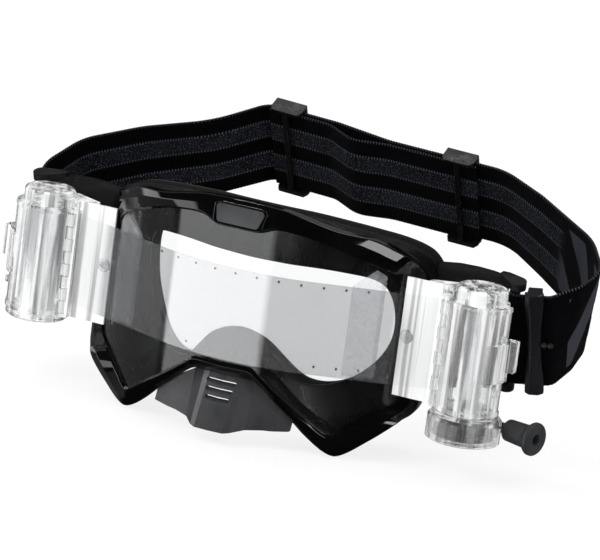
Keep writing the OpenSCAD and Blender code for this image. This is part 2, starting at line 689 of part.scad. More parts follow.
module pulley_cover() {
    color([0.92, 0.95, 0.97, 0.4]) canister(takeup_side) translate([0, 0, drum_floor + 0.3]) {
        cylinder(r = drum_r - can_wall - 0.05, h = cover_t);
        cylinder(r = sleeve_r, h = web_top - web_t - drum_floor - 0.5);
        cylinder(r = axle_r, h = web_top - drum_floor - 0.6);
    }
}

module return_pulley() {
    rim_in = groove_r - 2.6;
    color("#18191b") canister(takeup_side) {
        difference() {
            union() {
                translate([0, 0, pulley_foot]) cylinder(r = groove_r, h = web_top - pulley_foot);
                translate([0, 0, pulley_foot]) cylinder(r = groove_r + 1.7, h = 0.7);
                translate([0, 0, web_top - 0.7]) cylinder(r = groove_r + 1.7, h = 0.7);
            }
            translate([0, 0, pulley_foot - 1]) cylinder(r = rim_in, h = web_top - web_t - pulley_foot + 1);
            translate([0, 0, pulley_foot - 1]) cylinder(r = axle_r + run_clear, h = 20);
        }
    }
}

// Flat spiral spring inside the pulley
spring_turns = 4.5;
spring_t = 0.35;
spring_in = sleeve_r + 0.45;
spring_out = groove_r - 3.1;
function spiral(t) = let (r = spring_in + (spring_out - spring_in) * t / (spring_turns * 360))
    [r * cos(t), r * sin(t)];
spring_gap = (spring_out - spring_in) / spring_turns - spring_t;
echo(spring_least_gap = spring_gap);
module return_spring() {
    a = [for (t = [0 : 15 : spring_turns * 360]) spiral(t)];
    b = [for (t = [spring_turns * 360 : -15 : 0]) spiral(t) * (norm(spiral(t)) + spring_t) / norm(spiral(t))];
    color("#8d9196") canister(takeup_side) translate([0, 0, pulley_foot + 0.3])
        linear_extrude(web_top - web_t - pulley_foot - 0.8) polygon(concat(a, b));
}

// Ratchet: a toothed wheel on the spool shaft, and pawls that the pulley carries
teeth = 12;
wheel_r = 5.6;
wheel_t = 1.2;
wheel_z = web_top + 0.3;
module ratchet_wheel() {
    color("#c9ccd0") canister(takeup_side) translate([0, 0, wheel_z]) linear_extrude(wheel_t) difference() {
        polygon([for (i = [0 : teeth - 1]) each [
            [wheel_r * cos(i * 360 / teeth), wheel_r * sin(i * 360 / teeth)],
            [(wheel_r - 1) * cos(i * 360 / teeth + 2), (wheel_r - 1) * sin(i * 360 / teeth + 2)]]]);
        circle(r = shaft_r + run_clear);
    }
}

module ratchet_pawls() {
    color("#c9ccd0") canister(takeup_side) for (a = [0, 180]) rotate([0, 0, a])
        translate([0, 0, web_top + 0.02]) linear_extrude(wheel_t)
            polygon([[wheel_r + 0.25, -0.6], [wheel_r + 0.9, 0.6], [9.3, 4.2], [10.2, 3.3], [7.4, -0.4]]);
}

// Cord winding: one tube on a helix that ends in a short straight run towards the handle
wind_steps = 24;
wind_end_a = 90 - cord_angle;
function wind_points() = let (n = round(wind_turns * wind_steps))
    concat([for (i = [0 : n]) let (a = wind_end_a + (n - i) * 360 / wind_steps)
        [wind_r * cos(a), wind_r * sin(a), cord_z - (n - i) * wind_pitch / wind_steps]],
        [[cord_foot[0] + cord_dir[0] * cord_d, cord_foot[1] + cord_dir[1] * cord_d, cord_z]]);
function sub_min(p, q) = min([for (i = [0 : len(p) - 1]) for (j = [0 : len(q) - 1])
    if (abs(i - j) > wind_steps / 2) norm(p[i] - q[j])]);
echo(winding_least_gap = sub_min(wind_points(), wind_points()) - cord_d);

// Sections of a round tube of a radius along a list of points
function tube_sections(p, r, sides) = [for (i = [0 : len(p) - 1])
    let (t = unit(p[min(i + 1, len(p) - 1)] - p[max(i - 1, 0)]), u = unit(cross(t, [0, 0, 1])), v = cross(u, t))
    [for (j = [0 : sides - 1]) p[i] + r * (cos(j * 360 / sides) * u + sin(j * 360 / sides) * v)]];

module cord_winding() {
    color("#0f0f10") canister(takeup_side) bar(tube_sections(wind_points(), cord_d / 2, 6));
}

handle_gap = 0.35;
bush_r = 1.5;
bush_head_r = 2.3;
wall_at = sqrt(drum_r * drum_r - wind_r * wind_r);
handle_foot_r = 4.3;
handle_at = sqrt(drum_r * drum_r - (wind_r - handle_foot_r) * (wind_r - handle_foot_r)) + handle_gap;
cord_seat = 6;
module along_cord() {
    canister(takeup_side) translate([cord_foot[0], cord_foot[1], cord_z]) rotate([0, 0, -cord_angle])
        rotate([0, 90, 0]) children();
}

module pull_cord() {
    color("#0f0f10") along_cord() translate([0, 0, cord_d + 0.02])
        cylinder(r = cord_d / 2, h = handle_at + cord_seat - cord_d);
}

module cord_bush() {
    color("#2c2d30") along_cord() difference() {
        union() {
            translate([0, 0, wall_at - 2.6]) cylinder(r = bush_r, h = 3.2);
            translate([0, 0, wall_at + 0.35]) cylinder(r = bush_head_r, h = 0.9);
        }
        translate([0, 0, wall_at - 4]) cylinder(r = cord_d / 2 + run_clear, h = 8);
    }
}

// Handle: a tapered grip with a flared end, hollow for the cord's knot
module handle() {
    l = handle_len;
    color("#2e3033") along_cord() translate([0, 0, handle_at]) difference() {
        rotate_extrude() polygon([[0, 0], [handle_foot_r, 0], [handle_foot_r + 0.4, 0.6], [5.1, l * 0.66],
            [5.5, l * 0.76], [flare_r - 0.4, l - 2.6], [flare_r, l - 1.9], [flare_r, l - 0.7],
            [flare_r - 0.6, l], [0, l]]);
        translate([0, 0, -1]) cylinder(r = cord_d / 2 + run_clear, h = l + 2);
        translate([0, 0, cord_seat + 1.6]) cylinder(r = 2.2, h = l);
    }
}

module handle_plug() {
    color("#1a1b1d") along_cord() translate([0, 0, handle_at + cord_seat + 1.7]) difference() {
        cylinder(r = 2.15, h = 3);
        translate([0, 0, 1]) cylinder(r = 1.1, h = 4);
    }
}

// Strap plane: leans forward by the tilt, with its top edge at strap_top
strap_top = 3;
module in_strap_plane() {
    rotate([strap_tilt, 0, 0]) children();
}

ear_gap = 1.15;
ear_l = 3;
ear_t = 3.4;
ear_hole = 2;
ear_r = 3.6;
anchor_bar_r = 1.5;
loop_r = anchor_bar_r + 0.3 + strap_t / 2;
// Anchor bar: upper and lower end in the strap plane
anchor_top = [110.5, 50];
anchor_low = [107.5, 40.8];
lead_a = 13.4;
lead_l = [14.4, 19.4];

// Point of the strap plane at a distance below the strap's top edge
function on_strap(p, k) = let (h = strap_top + k) [p[0], p[1] * cos(strap_tilt) - h * sin(strap_tilt),
    p[1] * sin(strap_tilt) + h * cos(strap_tilt)];
anchor_axis = on_strap(anchor_top, 0) - on_strap(anchor_low, -strap_w);
anchor_len = norm(anchor_axis);

// Carries its children to a height on the anchor bar's axis, counted from the strap's lower edge
module along_anchor(h) {
    translate(on_strap(anchor_low, -strap_w) + unit(anchor_axis) * h)
        rotate([0, acos(anchor_axis[2] / anchor_len), atan2(anchor_axis[1], anchor_axis[0])]) children();
}

// Strap route: corners of its top edge and of its lower edge, and the radius of each bend
lead = [cos(lead_a), sin(lead_a)];
lead_side = [sin(lead_a), -cos(lead_a)] * loop_r;
ROUTE = [concat(anchor_top + lead_side + lead * lead_l[0], anchor_low + lead_side + lead * lead_l[1], 5),
    [134.5, 60.5, 131, 54.5, 10], [140, 73, 132, 67, 12], [129, 90.5, 123, 87, 28], [98, 110.5, 97, 107, 40],
    [77, 121, 77, 121, 30], [22, 123.5, 22, 123.5, 60], [-4, 127.8, -4, 127.8, 25], [-38, 130.2, -38, 130.2, 11],
    [-57, 111.5, -57, 113.5, 60], [-84, 98, -84, 96.5, 50], [-106, 82, -104.5, 79, 22],
    [-114.5, 63, -111, 57, 16]];
layer_step = 2.4;
TAIL = [[64.5, 119.1, 0], [22, 121.05, 30], [6, 119, 16], [-7, 125.6, 12], [-36.5, 127.65, 0]];

// Tangent arc at a corner, as a list of points
bend_steps = 6;
function corner(p0, p1, p2, r) = let (u = unit(p0 - p1), v = unit(p2 - p1), half = acos(u * v) / 2,
    reach = r / tan(half), c = p1 + unit(u + v) * r / sin(half), a = p1 + u * reach - c, b = p1 + v * reach - c,
    turn = 180 - 2 * half, way = (a[0] * b[1] - a[1] * b[0]) > 0 ? 1 : -1)
    [for (i = [0 : bend_steps]) let (q = way * turn * i / bend_steps)
        c + [a[0] * cos(q) - a[1] * sin(q), a[0] * sin(q) + a[1] * cos(q)]];
function bends(first, l, last) = [for (i = [0 : len(l) - 1])
    each corner(i == 0 ? first : l[i - 1], l[i], i == len(l) - 1 ? last : l[i + 1], ROUTE[i][4])];
// Loop round an anchor bar, from one angle to another
function loop(c, a0, a1) = [for (i = [0 : 10]) let (a = a0 + (a1 - a0) * i / 10) c + loop_r * [cos(a), sin(a)]];
function edge(col, anchor) = let (l = [for (q = ROUTE) [q[col], q[col + 1]]], other = [-anchor[0], anchor[1]],
    near = loop(anchor, 80, 270 + lead_a), far = loop(other, 180, 380))
    concat(near, bends(near[10], l, far[0]), far);
function side_of(p, i) = let (t = unit(p[min(i + 1, len(p) - 1)] - p[max(i - 1, 0)])) [-t[1], t[0]];
function offset_line(p, s) = [for (i = [0 : len(p) - 1]) p[i] + side_of(p, i) * s];

// Strap whose top and lower edge follow two matched lines
module webbing(top, low) {
    h = strap_t / 2;
    a = offset_line(top, h);
    b = offset_line(top, -h);
    c = offset_line(low, -h);
    d = offset_line(low, h);
    from_apex() bar([for (i = [0 : len(top) - 1])
        [on_strap(a[i], 0), on_strap(b[i], 0), on_strap(c[i], -strap_w), on_strap(d[i], -strap_w)]]);
}

module strap_main() {
    color("#14161c") webbing(edge(0, anchor_top), edge(2, anchor_low));
}

module strap_tail() {
    line = concat([[TAIL[0][0], TAIL[0][1]]], [for (i = [1 : len(TAIL) - 2])
        each corner([TAIL[i - 1][0], TAIL[i - 1][1]], [TAIL[i][0], TAIL[i][1]], [TAIL[i + 1][0], TAIL[i + 1][1]],
            TAIL[i][2])], [[TAIL[4][0], TAIL[4][1]]]);
    color("#191b22") webbing(line, line);
}

module anchor_bars() {
    color("#2a2b2e") from_apex() for (side = [0, 1]) mirror([side, 0, 0]) along_anchor(-ear_gap - ear_hole + 0.1)
        cylinder(r = anchor_bar_r, h = anchor_len + 2 * (ear_gap + ear_hole) - 0.2);
}

// Slider: a frame round both layers with a bar across its inner side
slider_a = [56, 121.95];
slider_b = [-28, 129.49];
slider_rail = 1.6;
module slider(at, dir) {
    half = slider_l / 2;
    out = strap_t / 2 + slider_clear;
    inn = layer_step + strap_t / 2 + slider_clear;
    rail = slider_rail;
    color("#121315") from_apex() in_strap_plane() translate([at[0], at[1], strap_top]) rotate([0, 0, dir]) {
        for (x = [-half, half - 2.6]) translate([x, out, -strap_w - slider_clear - rail])
            cube([2.6, 1.9, strap_w + 2 * (slider_clear + rail)]);
        translate([-1.3, -inn - 1.7, -strap_w - slider_clear - rail])
            cube([2.6, 1.7, strap_w + 2 * (slider_clear + rail)]);
        for (z = [slider_clear, -strap_w - slider_clear - rail]) translate([0, 0, z]) linear_extrude(rail)
            polygon([[-half, -inn + 0.6], [-half + 1.2, -inn - 1.7], [half - 1.2, -inn - 1.7], [half, -inn + 0.6],
                [half, out + 1.9], [-half, out + 1.9]]);
    }
}

module slider_left() {
    slider(slider_a, atan2(ROUTE[5][1] - ROUTE[6][1], ROUTE[5][0] - ROUTE[6][0]));
}

module slider_right() {
    slider(slider_b, atan2(ROUTE[7][1] - ROUTE[8][1], ROUTE[7][0] - ROUTE[8][0]));
}

// Keeper: a waisted bar in front of the strap and a flat one behind, joined past its edges
keeper_at = [7.8, 12.4];
KEEPER = [[-1, 4, 3.6], [-0.8, 4, 3.6], [-0.25, 2.8, 2.9], [0.25, 2.8, 2.9], [0.8, 4, 3.6], [1, 4, 3.6]];
keeper_end = 2;
keeper_top = on_strap(anchor_top + lead_side + lead * keeper_at[0], 0);
keeper_low = on_strap(anchor_low + lead_side + lead * keeper_at[1], -strap_w);
keeper_axis = keeper_top - keeper_low;
keeper_len = norm(keeper_axis);
module at_keeper() {
    lean = acos(keeper_axis[2] / keeper_len);
    turn = atan2(keeper_axis[1], keeper_axis[0]);
    along = on_strap(lead, 0) - on_strap([0, 0], 0);
    level = [cos(lean) * cos(turn), cos(lean) * sin(turn), -sin(lean)];
    across = [-sin(turn), cos(turn), 0];
    from_apex() translate((keeper_top + keeper_low) / 2) rotate([0, lean, turn])
        rotate([0, 0, atan2(along * across, along * level)]) children();
}

module strap_keeper() {
    h = keeper_len + 2 * slider_clear;
    out = strap_t / 2 + slider_clear + 0.15;
    color("#141517") at_keeper() {
        translate([0, -out, 0]) bar([for (s = KEEPER) let (z = s[0] * (h / 2 + keeper_end))
            [[-s[1], 0, z], [-s[1], -s[2] * 0.5, z], [-s[1] * 0.5, -s[2], z],
                [s[1] * 0.5, -s[2], z], [s[1], -s[2] * 0.5, z], [s[1], 0, z]]]);
        translate([-3, out, -h / 2 - keeper_end]) cube([6, 1.4, h + 2 * keeper_end]);
        for (z = [h / 2 + 0.02, -h / 2 - keeper_end]) translate([-3, -out - 0.6, z])
            cube([6, 2 * out + 1.4, keeper_end - 0.02]);
    }
}

module keeper_balls() {
    color("#0c0c0d") at_keeper() for (x = [4.3, 7]) translate([x, -3.6, 0]) sphere(r = 1.3, $fn = 32);
}

front_frame();
rear_frame();
outrigger(1);  // outrigger_left
outrigger(-1);  // outrigger_right
lens();
lens_seal();
badge_plate();
nose_guard();
vent_foam();
foam_base();
foam_soft();
face_fleece();
supply_housing();
supply_door();
supply_hinge_pin();
supply_cap();
supply_base();
supply_core();
supply_roll();
takeup_housing();
takeup_door();
takeup_hinge_pin();
takeup_cap();
takeup_core();
takeup_roll();
film_strip();
film_guides();
snap_posts();
pulley_housing();
pulley_cover();
return_pulley();
return_spring();
ratchet_wheel();
ratchet_pawls();
cord_winding();
pull_cord();
cord_bush();
handle();
handle_plug();
anchor_bars();
strap_main();
strap_tail();
slider_left();
slider_right();
strap_keeper();
keeper_balls();
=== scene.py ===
"""Motocross goggles with a roll-off film system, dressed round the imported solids.

Lengths in the shape functions are millimetres. Depth is counted from the lens apex, as in the part's source,
and place() turns a point into metres of the shared frame.
"""
import math

import bmesh
import bpy
import numpy as np
from mathutils import Matrix, Vector


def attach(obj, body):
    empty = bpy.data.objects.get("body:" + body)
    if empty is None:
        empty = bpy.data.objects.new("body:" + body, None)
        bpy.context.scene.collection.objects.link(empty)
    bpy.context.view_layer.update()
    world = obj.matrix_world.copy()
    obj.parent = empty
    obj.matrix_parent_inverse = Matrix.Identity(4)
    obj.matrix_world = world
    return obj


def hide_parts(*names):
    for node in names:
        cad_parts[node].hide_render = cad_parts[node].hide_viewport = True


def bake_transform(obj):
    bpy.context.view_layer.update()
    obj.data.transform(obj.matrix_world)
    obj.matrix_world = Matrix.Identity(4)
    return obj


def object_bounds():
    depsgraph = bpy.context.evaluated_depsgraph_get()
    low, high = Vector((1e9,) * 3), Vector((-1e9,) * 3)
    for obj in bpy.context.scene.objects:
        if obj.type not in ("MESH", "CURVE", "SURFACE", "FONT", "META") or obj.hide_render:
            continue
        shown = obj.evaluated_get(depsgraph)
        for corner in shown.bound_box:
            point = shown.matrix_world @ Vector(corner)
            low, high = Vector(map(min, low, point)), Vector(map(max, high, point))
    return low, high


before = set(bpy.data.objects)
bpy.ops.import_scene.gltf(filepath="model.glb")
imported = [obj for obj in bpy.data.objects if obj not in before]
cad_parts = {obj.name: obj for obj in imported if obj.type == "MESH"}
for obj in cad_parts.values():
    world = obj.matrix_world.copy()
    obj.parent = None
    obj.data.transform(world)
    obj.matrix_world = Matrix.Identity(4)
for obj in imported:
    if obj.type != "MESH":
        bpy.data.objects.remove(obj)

CAD_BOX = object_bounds()
APEX_Y = -40.0


def place(points):
    """Metres of the shared frame: the point in millimetres, moved by the apex's y, over a thousand."""
    return (np.asarray(points, float) + [0, APEX_Y, 0]) / 1000


def unit(v):
    """Each row over its own length."""
    return v / np.linalg.norm(v, axis=-1, keepdims=True)


# ---- camera ----

AZIMUTH, ELEVATION, ROLL = np.radians([20.61, 15.24, 7.52])
DISTANCE, TARGET = 2075.1, np.array([29.81, 0, 21.34])
FOCAL_LENGTH, SENSOR_WIDTH = 299.46, 36


def add_camera():
    """Camera on a sphere round the target: azimuth from the front, elevation above the horizon, then a roll."""
    back = np.array([math.sin(AZIMUTH) * math.cos(ELEVATION), -math.cos(AZIMUTH) * math.cos(ELEVATION),
                     math.sin(ELEVATION)])
    right = unit(np.cross(-back, [0, 0, 1]))
    up = np.cross(right, -back)
    level = math.cos(ROLL) * right + math.sin(ROLL) * up
    upright = -math.sin(ROLL) * right + math.cos(ROLL) * up
    data = bpy.data.cameras.new("camera")
    data.sensor_width, data.lens = SENSOR_WIDTH, FOCAL_LENGTH
    data.clip_start, data.clip_end = 0.1, 20
    camera = bpy.data.objects.new("camera", data)
    bpy.context.scene.collection.objects.link(camera)
    turn = np.stack([level, upright, back], 1)
    camera.matrix_world = Matrix.Translation(place(TARGET + back * DISTANCE)) @ Matrix(turn.tolist()).to_4x4()
    bpy.context.scene.camera = camera


add_camera()

# ---- mesh from grids ----


def grid_faces(rows, columns, ring):
    """Four-sided faces of a grid whose columns close on themselves, and its rows too if it is a ring."""
    i, j = np.meshgrid(np.arange(rows if ring else rows - 1), np.arange(columns), indexing="ij")
    after, beside = (i + 1) % rows, (j + 1) % columns
    return np.stack([i * columns + j, i * columns + beside, after * columns + beside, after * columns + j],
                    -1).reshape(-1, 4)


def mesh_piece(name, points, faces, finish, body="frame", slot=None, uv=None, smooth=True):
    """Piece from points in metres and lists of corners, with its faces turned outwards."""
    mesh = bpy.data.meshes.new(name)
    mesh.from_pydata(np.asarray(points).reshape(-1, 3).tolist(), [], [list(map(int, f)) for f in faces])
    work = bmesh.new()
    work.from_mesh(mesh)
    bmesh.ops.recalc_face_normals(work, faces=work.faces)
    work.to_mesh(mesh)
    work.free()
    if uv is not None:
        corner = np.zeros(len(mesh.loops), np.int32)
        mesh.loops.foreach_get("vertex_index", corner)
        layer = mesh.uv_layers.new(name="along_across")
        layer.data.foreach_set("uv", np.asarray(uv, np.float32)[corner].ravel())
    mesh.polygons.foreach_set("use_smooth", [smooth] * len(mesh.polygons))
    mesh.materials.append(finish)
    piece = bpy.data.objects.new(name, mesh)
    bpy.context.scene.collection.objects.link(piece)
    if body:
        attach(piece, body)
    return piece


def loft(name, grid, finish, ring=True, **kw):
    """Closed skin over a grid of section points: rows along the piece, columns round each section."""
    rows, columns = grid.shape[:2]
    faces = grid_faces(rows, columns, ring).tolist()
    if not ring:
        faces += [list(range(columns)), list(range(rows * columns - 1, (rows - 1) * columns - 1, -1))]
    return mesh_piece(name, place(grid), faces, finish, **kw)


def rounded(sections, radius, steps=4):
    """Each corner of each section becomes an arc: a quadratic curve between the points that lie a radius
    before and after it on its two edges."""
    before = np.roll(sections, 1, 1) - sections
    after = np.roll(sections, -1, 1) - sections
    short = np.minimum(np.linalg.norm(before, axis=-1), np.linalg.norm(after, axis=-1))
    reach = np.minimum(np.asarray(radius, float) * np.ones(sections.shape[1]), short * 0.45)[..., None]
    first, last = sections + unit(before) * reach, sections + unit(after) * reach
    t = np.linspace(0, 1, steps)[:, None]
    arcs = (1 - t) ** 2 * first[:, :, None] + 2 * t * (1 - t) * sections[:, :, None] + t ** 2 * last[:, :, None]
    return arcs.reshape(len(sections), -1, 3)


def finer(loop, times):
    """Closed loop with a point between each two, at 9/16 of the near pair's sum less 1/16 of the far pair's, so
    many times over."""
    for _ in range(times):
        mid = (loop + np.roll(loop, -1, 0)) * 0.5625 - (np.roll(loop, 1, 0) + np.roll(loop, -2, 0)) * 0.0625
        loop = np.stack([loop, mid], 1).reshape(-1, *loop.shape[1:])
    return loop


def add_modifier(piece, kind, **settings):
    """Modifier of a kind with its settings."""
    made = piece.modifiers.new(kind.lower(), kind)
    for key, value in settings.items():
        setattr(made, key, value)
    return made


def crisp(piece, width, segments, angle):
    """Small rounded edges and normals that follow the large faces."""
    add_modifier(piece, "BEVEL", width=width / 1000, segments=segments, limit_method="ANGLE",
                 angle_limit=math.radians(angle), use_clamp_overlap=True)
    add_modifier(piece, "WEIGHTED_NORMAL", keep_sharp=True, weight=60)


def cut_with(piece, cutters):
    """The piece less the cutters, applied, which are then removed."""
    for cutter in cutters:
        add_modifier(piece, "BOOLEAN", object=cutter, operation="DIFFERENCE", solver="EXACT")
    bpy.context.view_layer.update()
    solid = bpy.data.meshes.new_from_object(piece.evaluated_get(bpy.context.evaluated_depsgraph_get()))
    piece.modifiers.clear()
    piece.data = solid
    for cutter in cutters:
        bpy.data.objects.remove(cutter)


def pill(length, width, depth, steps=10):
    """Stadium prism round the origin: length along x, width along y, depth along z. Gives points and faces."""
    turn = np.linspace(-90, 90, steps) * math.pi / 180
    half = length / 2 - width / 2
    right = np.stack([half + np.cos(turn) * width / 2, np.sin(turn) * width / 2], 1)
    flat = np.vstack([right, -right])
    n = len(flat)
    points = np.vstack([np.c_[flat, np.full(n, -depth / 2)], np.c_[flat, np.full(n, depth / 2)]])
    sides = [[i, (i + 1) % n, n + (i + 1) % n, n + i] for i in range(n)]
    return points, sides + [list(range(n)), list(range(2 * n - 1, n - 1, -1))]


def turned(points, x=0, y=0, z=0):
    """Points turned about x, then y, then z, in degrees."""
    turn = Matrix.Rotation(math.radians(z), 3, "Z") @ Matrix.Rotation(math.radians(y), 3, "Y") \
        @ Matrix.Rotation(math.radians(x), 3, "X")
    return np.asarray(points) @ np.array(turn).T


# ---- finishes ----


def add(tree, kind, inputs=(), **settings):
    """Shader node of a kind, each input set to a value or joined to a socket."""
    made = tree.nodes.new("ShaderNode" + kind)
    for key, value in settings.items():
        setattr(made, key, value)
    for key, value in dict(inputs).items():
        if isinstance(value, bpy.types.NodeSocket):
            tree.links.new(value, made.inputs[key])
        else:
            made.inputs[key].default_value = value
    return made


def maths(tree, kind, first, second=0.0, third=0.0):
    """Result of one sum of a kind on values or sockets."""
    return add(tree, "Math", {0: first, 1: second, 2: third}, operation=kind).outputs[0]


def drawn_out(tree, where, *scale):
    """Coordinates scaled along each axis: below one, a pattern is drawn out along it."""
    return add(tree, "Mapping", {"Vector": where, "Scale": scale}).outputs[0]


def off_centre(tree, where):
    """Distance from the object's middle plane."""
    return maths(tree, "ABSOLUTE", add(tree, "SeparateXYZ", {0: where}).outputs[0])


def lamps_through(tree, surface, colour):
    """Output that is the surface, except that lamps shine through it in a colour."""
    lets = add(tree, "BsdfTransparent", {"Color": (*colour, 1)}).outputs[0]
    lamp_ray = add(tree, "LightPath").outputs["Is Shadow Ray"]
    whole = add(tree, "MixShader", {0: lamp_ray, 1: surface.outputs[0], 2: lets}).outputs[0]
    tree.links.new(whole, tree.nodes["Material Output"].inputs["Surface"])


def new_finish(name, colour, roughness, **sockets):
    """Material with its node tree, its Principled surface and its Object coordinates."""
    made = bpy.data.materials.new(name)
    made.use_nodes = True
    tree = made.node_tree
    surface = tree.nodes["Principled BSDF"]
    surface.inputs["Base Color"].default_value = (*colour, 1)
    surface.inputs["Roughness"].default_value = roughness
    for key, value in sockets.items():
        surface.inputs[key.replace("_", " ")].default_value = value
    return made, tree, surface, add(tree, "TexCoord").outputs["Object"]


def noise(tree, where, scale, detail=3, **inputs):
    """Noise of so many features to the metre."""
    return add(tree, "TexNoise", {"Vector": where, "Scale": scale, "Detail": detail, **inputs}).outputs["Fac"]


def spread(tree, value, low, high, start=0.3, end=0.7):
    """Value between start and end drawn out to low and high, smoothly."""
    return add(tree, "MapRange", {0: value, 1: start, 2: end, 3: low, 4: high},
               interpolation_type="SMOOTHSTEP").outputs[0]


def ramp(tree, value, start, end, low, high):
    """Value between start and end drawn out to low and high, in a straight line."""
    return add(tree, "MapRange", {0: value, 1: start, 2: end, 3: low, 4: high}).outputs[0]


def blend_colour(tree, share, first, second):
    """Colour between two, each a colour or a socket."""
    made = add(tree, "Mix", data_type="RGBA")
    tree.links.new(share, made.inputs[0])
    for place_of, colour in ((6, first), (7, second)):
        if isinstance(colour, bpy.types.NodeSocket):
            tree.links.new(colour, made.inputs[place_of])
        else:
            made.inputs[place_of].default_value = (*colour, 1)
    return made.outputs[2]


def raise_by(tree, surface, height, depth, strength=1.0, under=None):
    """Bump of a height between 0 and 1 times a depth in metres, over another bump if there is one."""
    inputs = {"Height": height, "Distance": depth, "Strength": strength}
    if under is not None:
        inputs["Normal"] = under
    bump = add(tree, "Bump", inputs).outputs["Normal"]
    tree.links.new(bump, surface.inputs["Normal"])
    return bump


def moulded(name, colour, roughness, grain=2600, depth=0.00002, drift=0.25, patch=45, rubbed=0.12, **sockets):
    """Moulded plastic: the colour drifts in broad patches, handling changes the gloss in smears, and the tool's
    grain stands up by a fine noise."""
    made, tree, surface, where = new_finish(name, colour, roughness, **sockets)
    lighter = [min(1, c * (1 + drift) + 0.0005) for c in colour]
    darker = [c * (1 - drift) for c in colour]
    tree.links.new(blend_colour(tree, spread(tree, noise(tree, where, patch), 0, 1), darker, lighter),
                   surface.inputs["Base Color"])
    smear = noise(tree, drawn_out(tree, where, 1, 1, 0.35), patch * 4, 5)
    tree.links.new(spread(tree, smear, max(0.02, roughness - rubbed / 2), roughness + rubbed / 2),
                   surface.inputs["Roughness"])
    raise_by(tree, surface, noise(tree, where, grain, 2), depth)
    return made


def clear_sheet(name, tint, gloss, haze, roughness=0.02, ior=1.49, tight=None):
    """Thin clear sheet: what lies behind shows through, a mirror share that grows towards grazing angles lies
    over it, and a little dust and haze catches the light. Beyond a distance across, where it lies tight on the
    canister's plate, both faces cling together and it only shows what is under it."""
    made, tree, surface, where = new_finish(name, (0.95, 0.96, 0.97), roughness, Metallic=1.0)
    through = add(tree, "BsdfTransparent", {"Color": (*tint, 1)}).outputs[0]
    dust = add(tree, "BsdfDiffuse", {"Color": (0.9, 0.91, 0.93, 1)}).outputs[0]
    specks = spread(tree, noise(tree, where, 700, 6), haze * 0.7, haze * 1.5, 0.35, 0.75)
    body = add(tree, "MixShader", {0: specks, 1: through, 2: dust}).outputs[0]
    front = maths(tree, "SUBTRACT", 1.0, add(tree, "NewGeometry").outputs["Backfacing"])
    grazing = maths(tree, "MULTIPLY", add(tree, "Fresnel", {"IOR": ior}).outputs[0], gloss)
    mirror = maths(tree, "MULTIPLY", grazing, front)
    whole = add(tree, "MixShader", {0: mirror, 1: body, 2: surface.outputs[0]}).outputs[0]
    if tight:
        cling = ramp(tree, off_centre(tree, where), tight, tight + 0.003, 0.0, 0.92)
        plain = add(tree, "BsdfTransparent", {"Color": (0.99, 0.99, 0.99, 1)}).outputs[0]
        whole = add(tree, "MixShader", {0: cling, 1: whole, 2: plain}).outputs[0]
    tree.links.new(whole, tree.nodes["Material Output"].inputs["Surface"])
    smear = noise(tree, drawn_out(tree, where, 1, 1, 3), 60, 4)
    tree.links.new(spread(tree, smear, roughness, roughness + 0.05), surface.inputs["Roughness"])
    return made


PLATE_ENDS = (0.084, 0.089)


def clear_moulding(name, tint, milk=(0.05, 0.5), roughness=0.03, ripple=0.0001, shade=0.9, plate=0.0):
    """Thick clear moulding: glass of the plastic's index with milky streaks along the pull of the mould, flow
    ripples and fine scuffs. The milky streaks are partly the moulding's own cloudiness and partly painted bright
    reflections, and dark streaks in its colour are painted shade. Lamps shine through it. The flat plates beside
    the lens are milkier by a share, a painted white that stands in for the bright reflections on them."""
    made, tree, surface, where = new_finish(name, tint, roughness, IOR=1.49)
    scuffs = noise(tree, drawn_out(tree, where, 1, 1, 0.25), 900, 6)
    tree.links.new(spread(tree, scuffs, roughness * 0.5, roughness + 0.1, 0.4, 0.8),
                   surface.inputs["Roughness"])
    # milky streaks: partly the moulding's cloudiness, partly painted bright reflections
    streak = noise(tree, drawn_out(tree, where, 1, 1, 0.06), 210, 4)
    clear = spread(tree, streak, 1 - milk[0], 1 - milk[1], 0.47, 0.58)
    # the plates are painted milkier, a white that stands in for their bright reflections
    if plate:
        clear = maths(tree, "MULTIPLY", clear, ramp(tree, off_centre(tree, where), *PLATE_ENDS, 1 - plate, 1.0))
    tree.links.new(clear, surface.inputs["Transmission Weight"])
    # painted shade: dark streaks in the colour that stand in for the dark reflections seen in clear plastic
    painted_dark_streaks = noise(tree, drawn_out(tree, where, 1, 1, 0.02), 330, 2)
    tree.links.new(blend_colour(tree, spread(tree, painted_dark_streaks, 0, 1, 0.36, 0.5), [c * 0.5 for c in tint], tint),
                   surface.inputs["Base Color"])
    raise_by(tree, surface, noise(tree, drawn_out(tree, where, 1, 1, 0.3), 130, 2), ripple)
    lamps_through(tree, surface, [shade] * 3)
    return made


def cellular(name, dark, light, cells, depth, roughness=0.95, **sockets):
    """Open foam: pores as a cell pattern sunk into the surface, over a softer swell, with painted shade that
    makes the pores darker than the skin."""
    made, tree, surface, where = new_finish(name, light, roughness, Specular_IOR_Level=0.1, **sockets)
    cell = add(tree, "TexVoronoi", {"Vector": where, "Scale": cells}).outputs["Distance"]
    soft = noise(tree, where, cells * 0.35, 4)
    # painted shade: the pores darker than the skin
    pore_shade_share = spread(tree, cell, 0, 1, 0.1, 0.6)
    tree.links.new(blend_colour(tree, maths(tree, "MULTIPLY", pore_shade_share, soft), light, dark),
                   surface.inputs["Base Color"])
    swell = raise_by(tree, surface, soft, depth * 2, 0.6)
    raise_by(tree, surface, cell, depth, 0.9, swell)
    return made


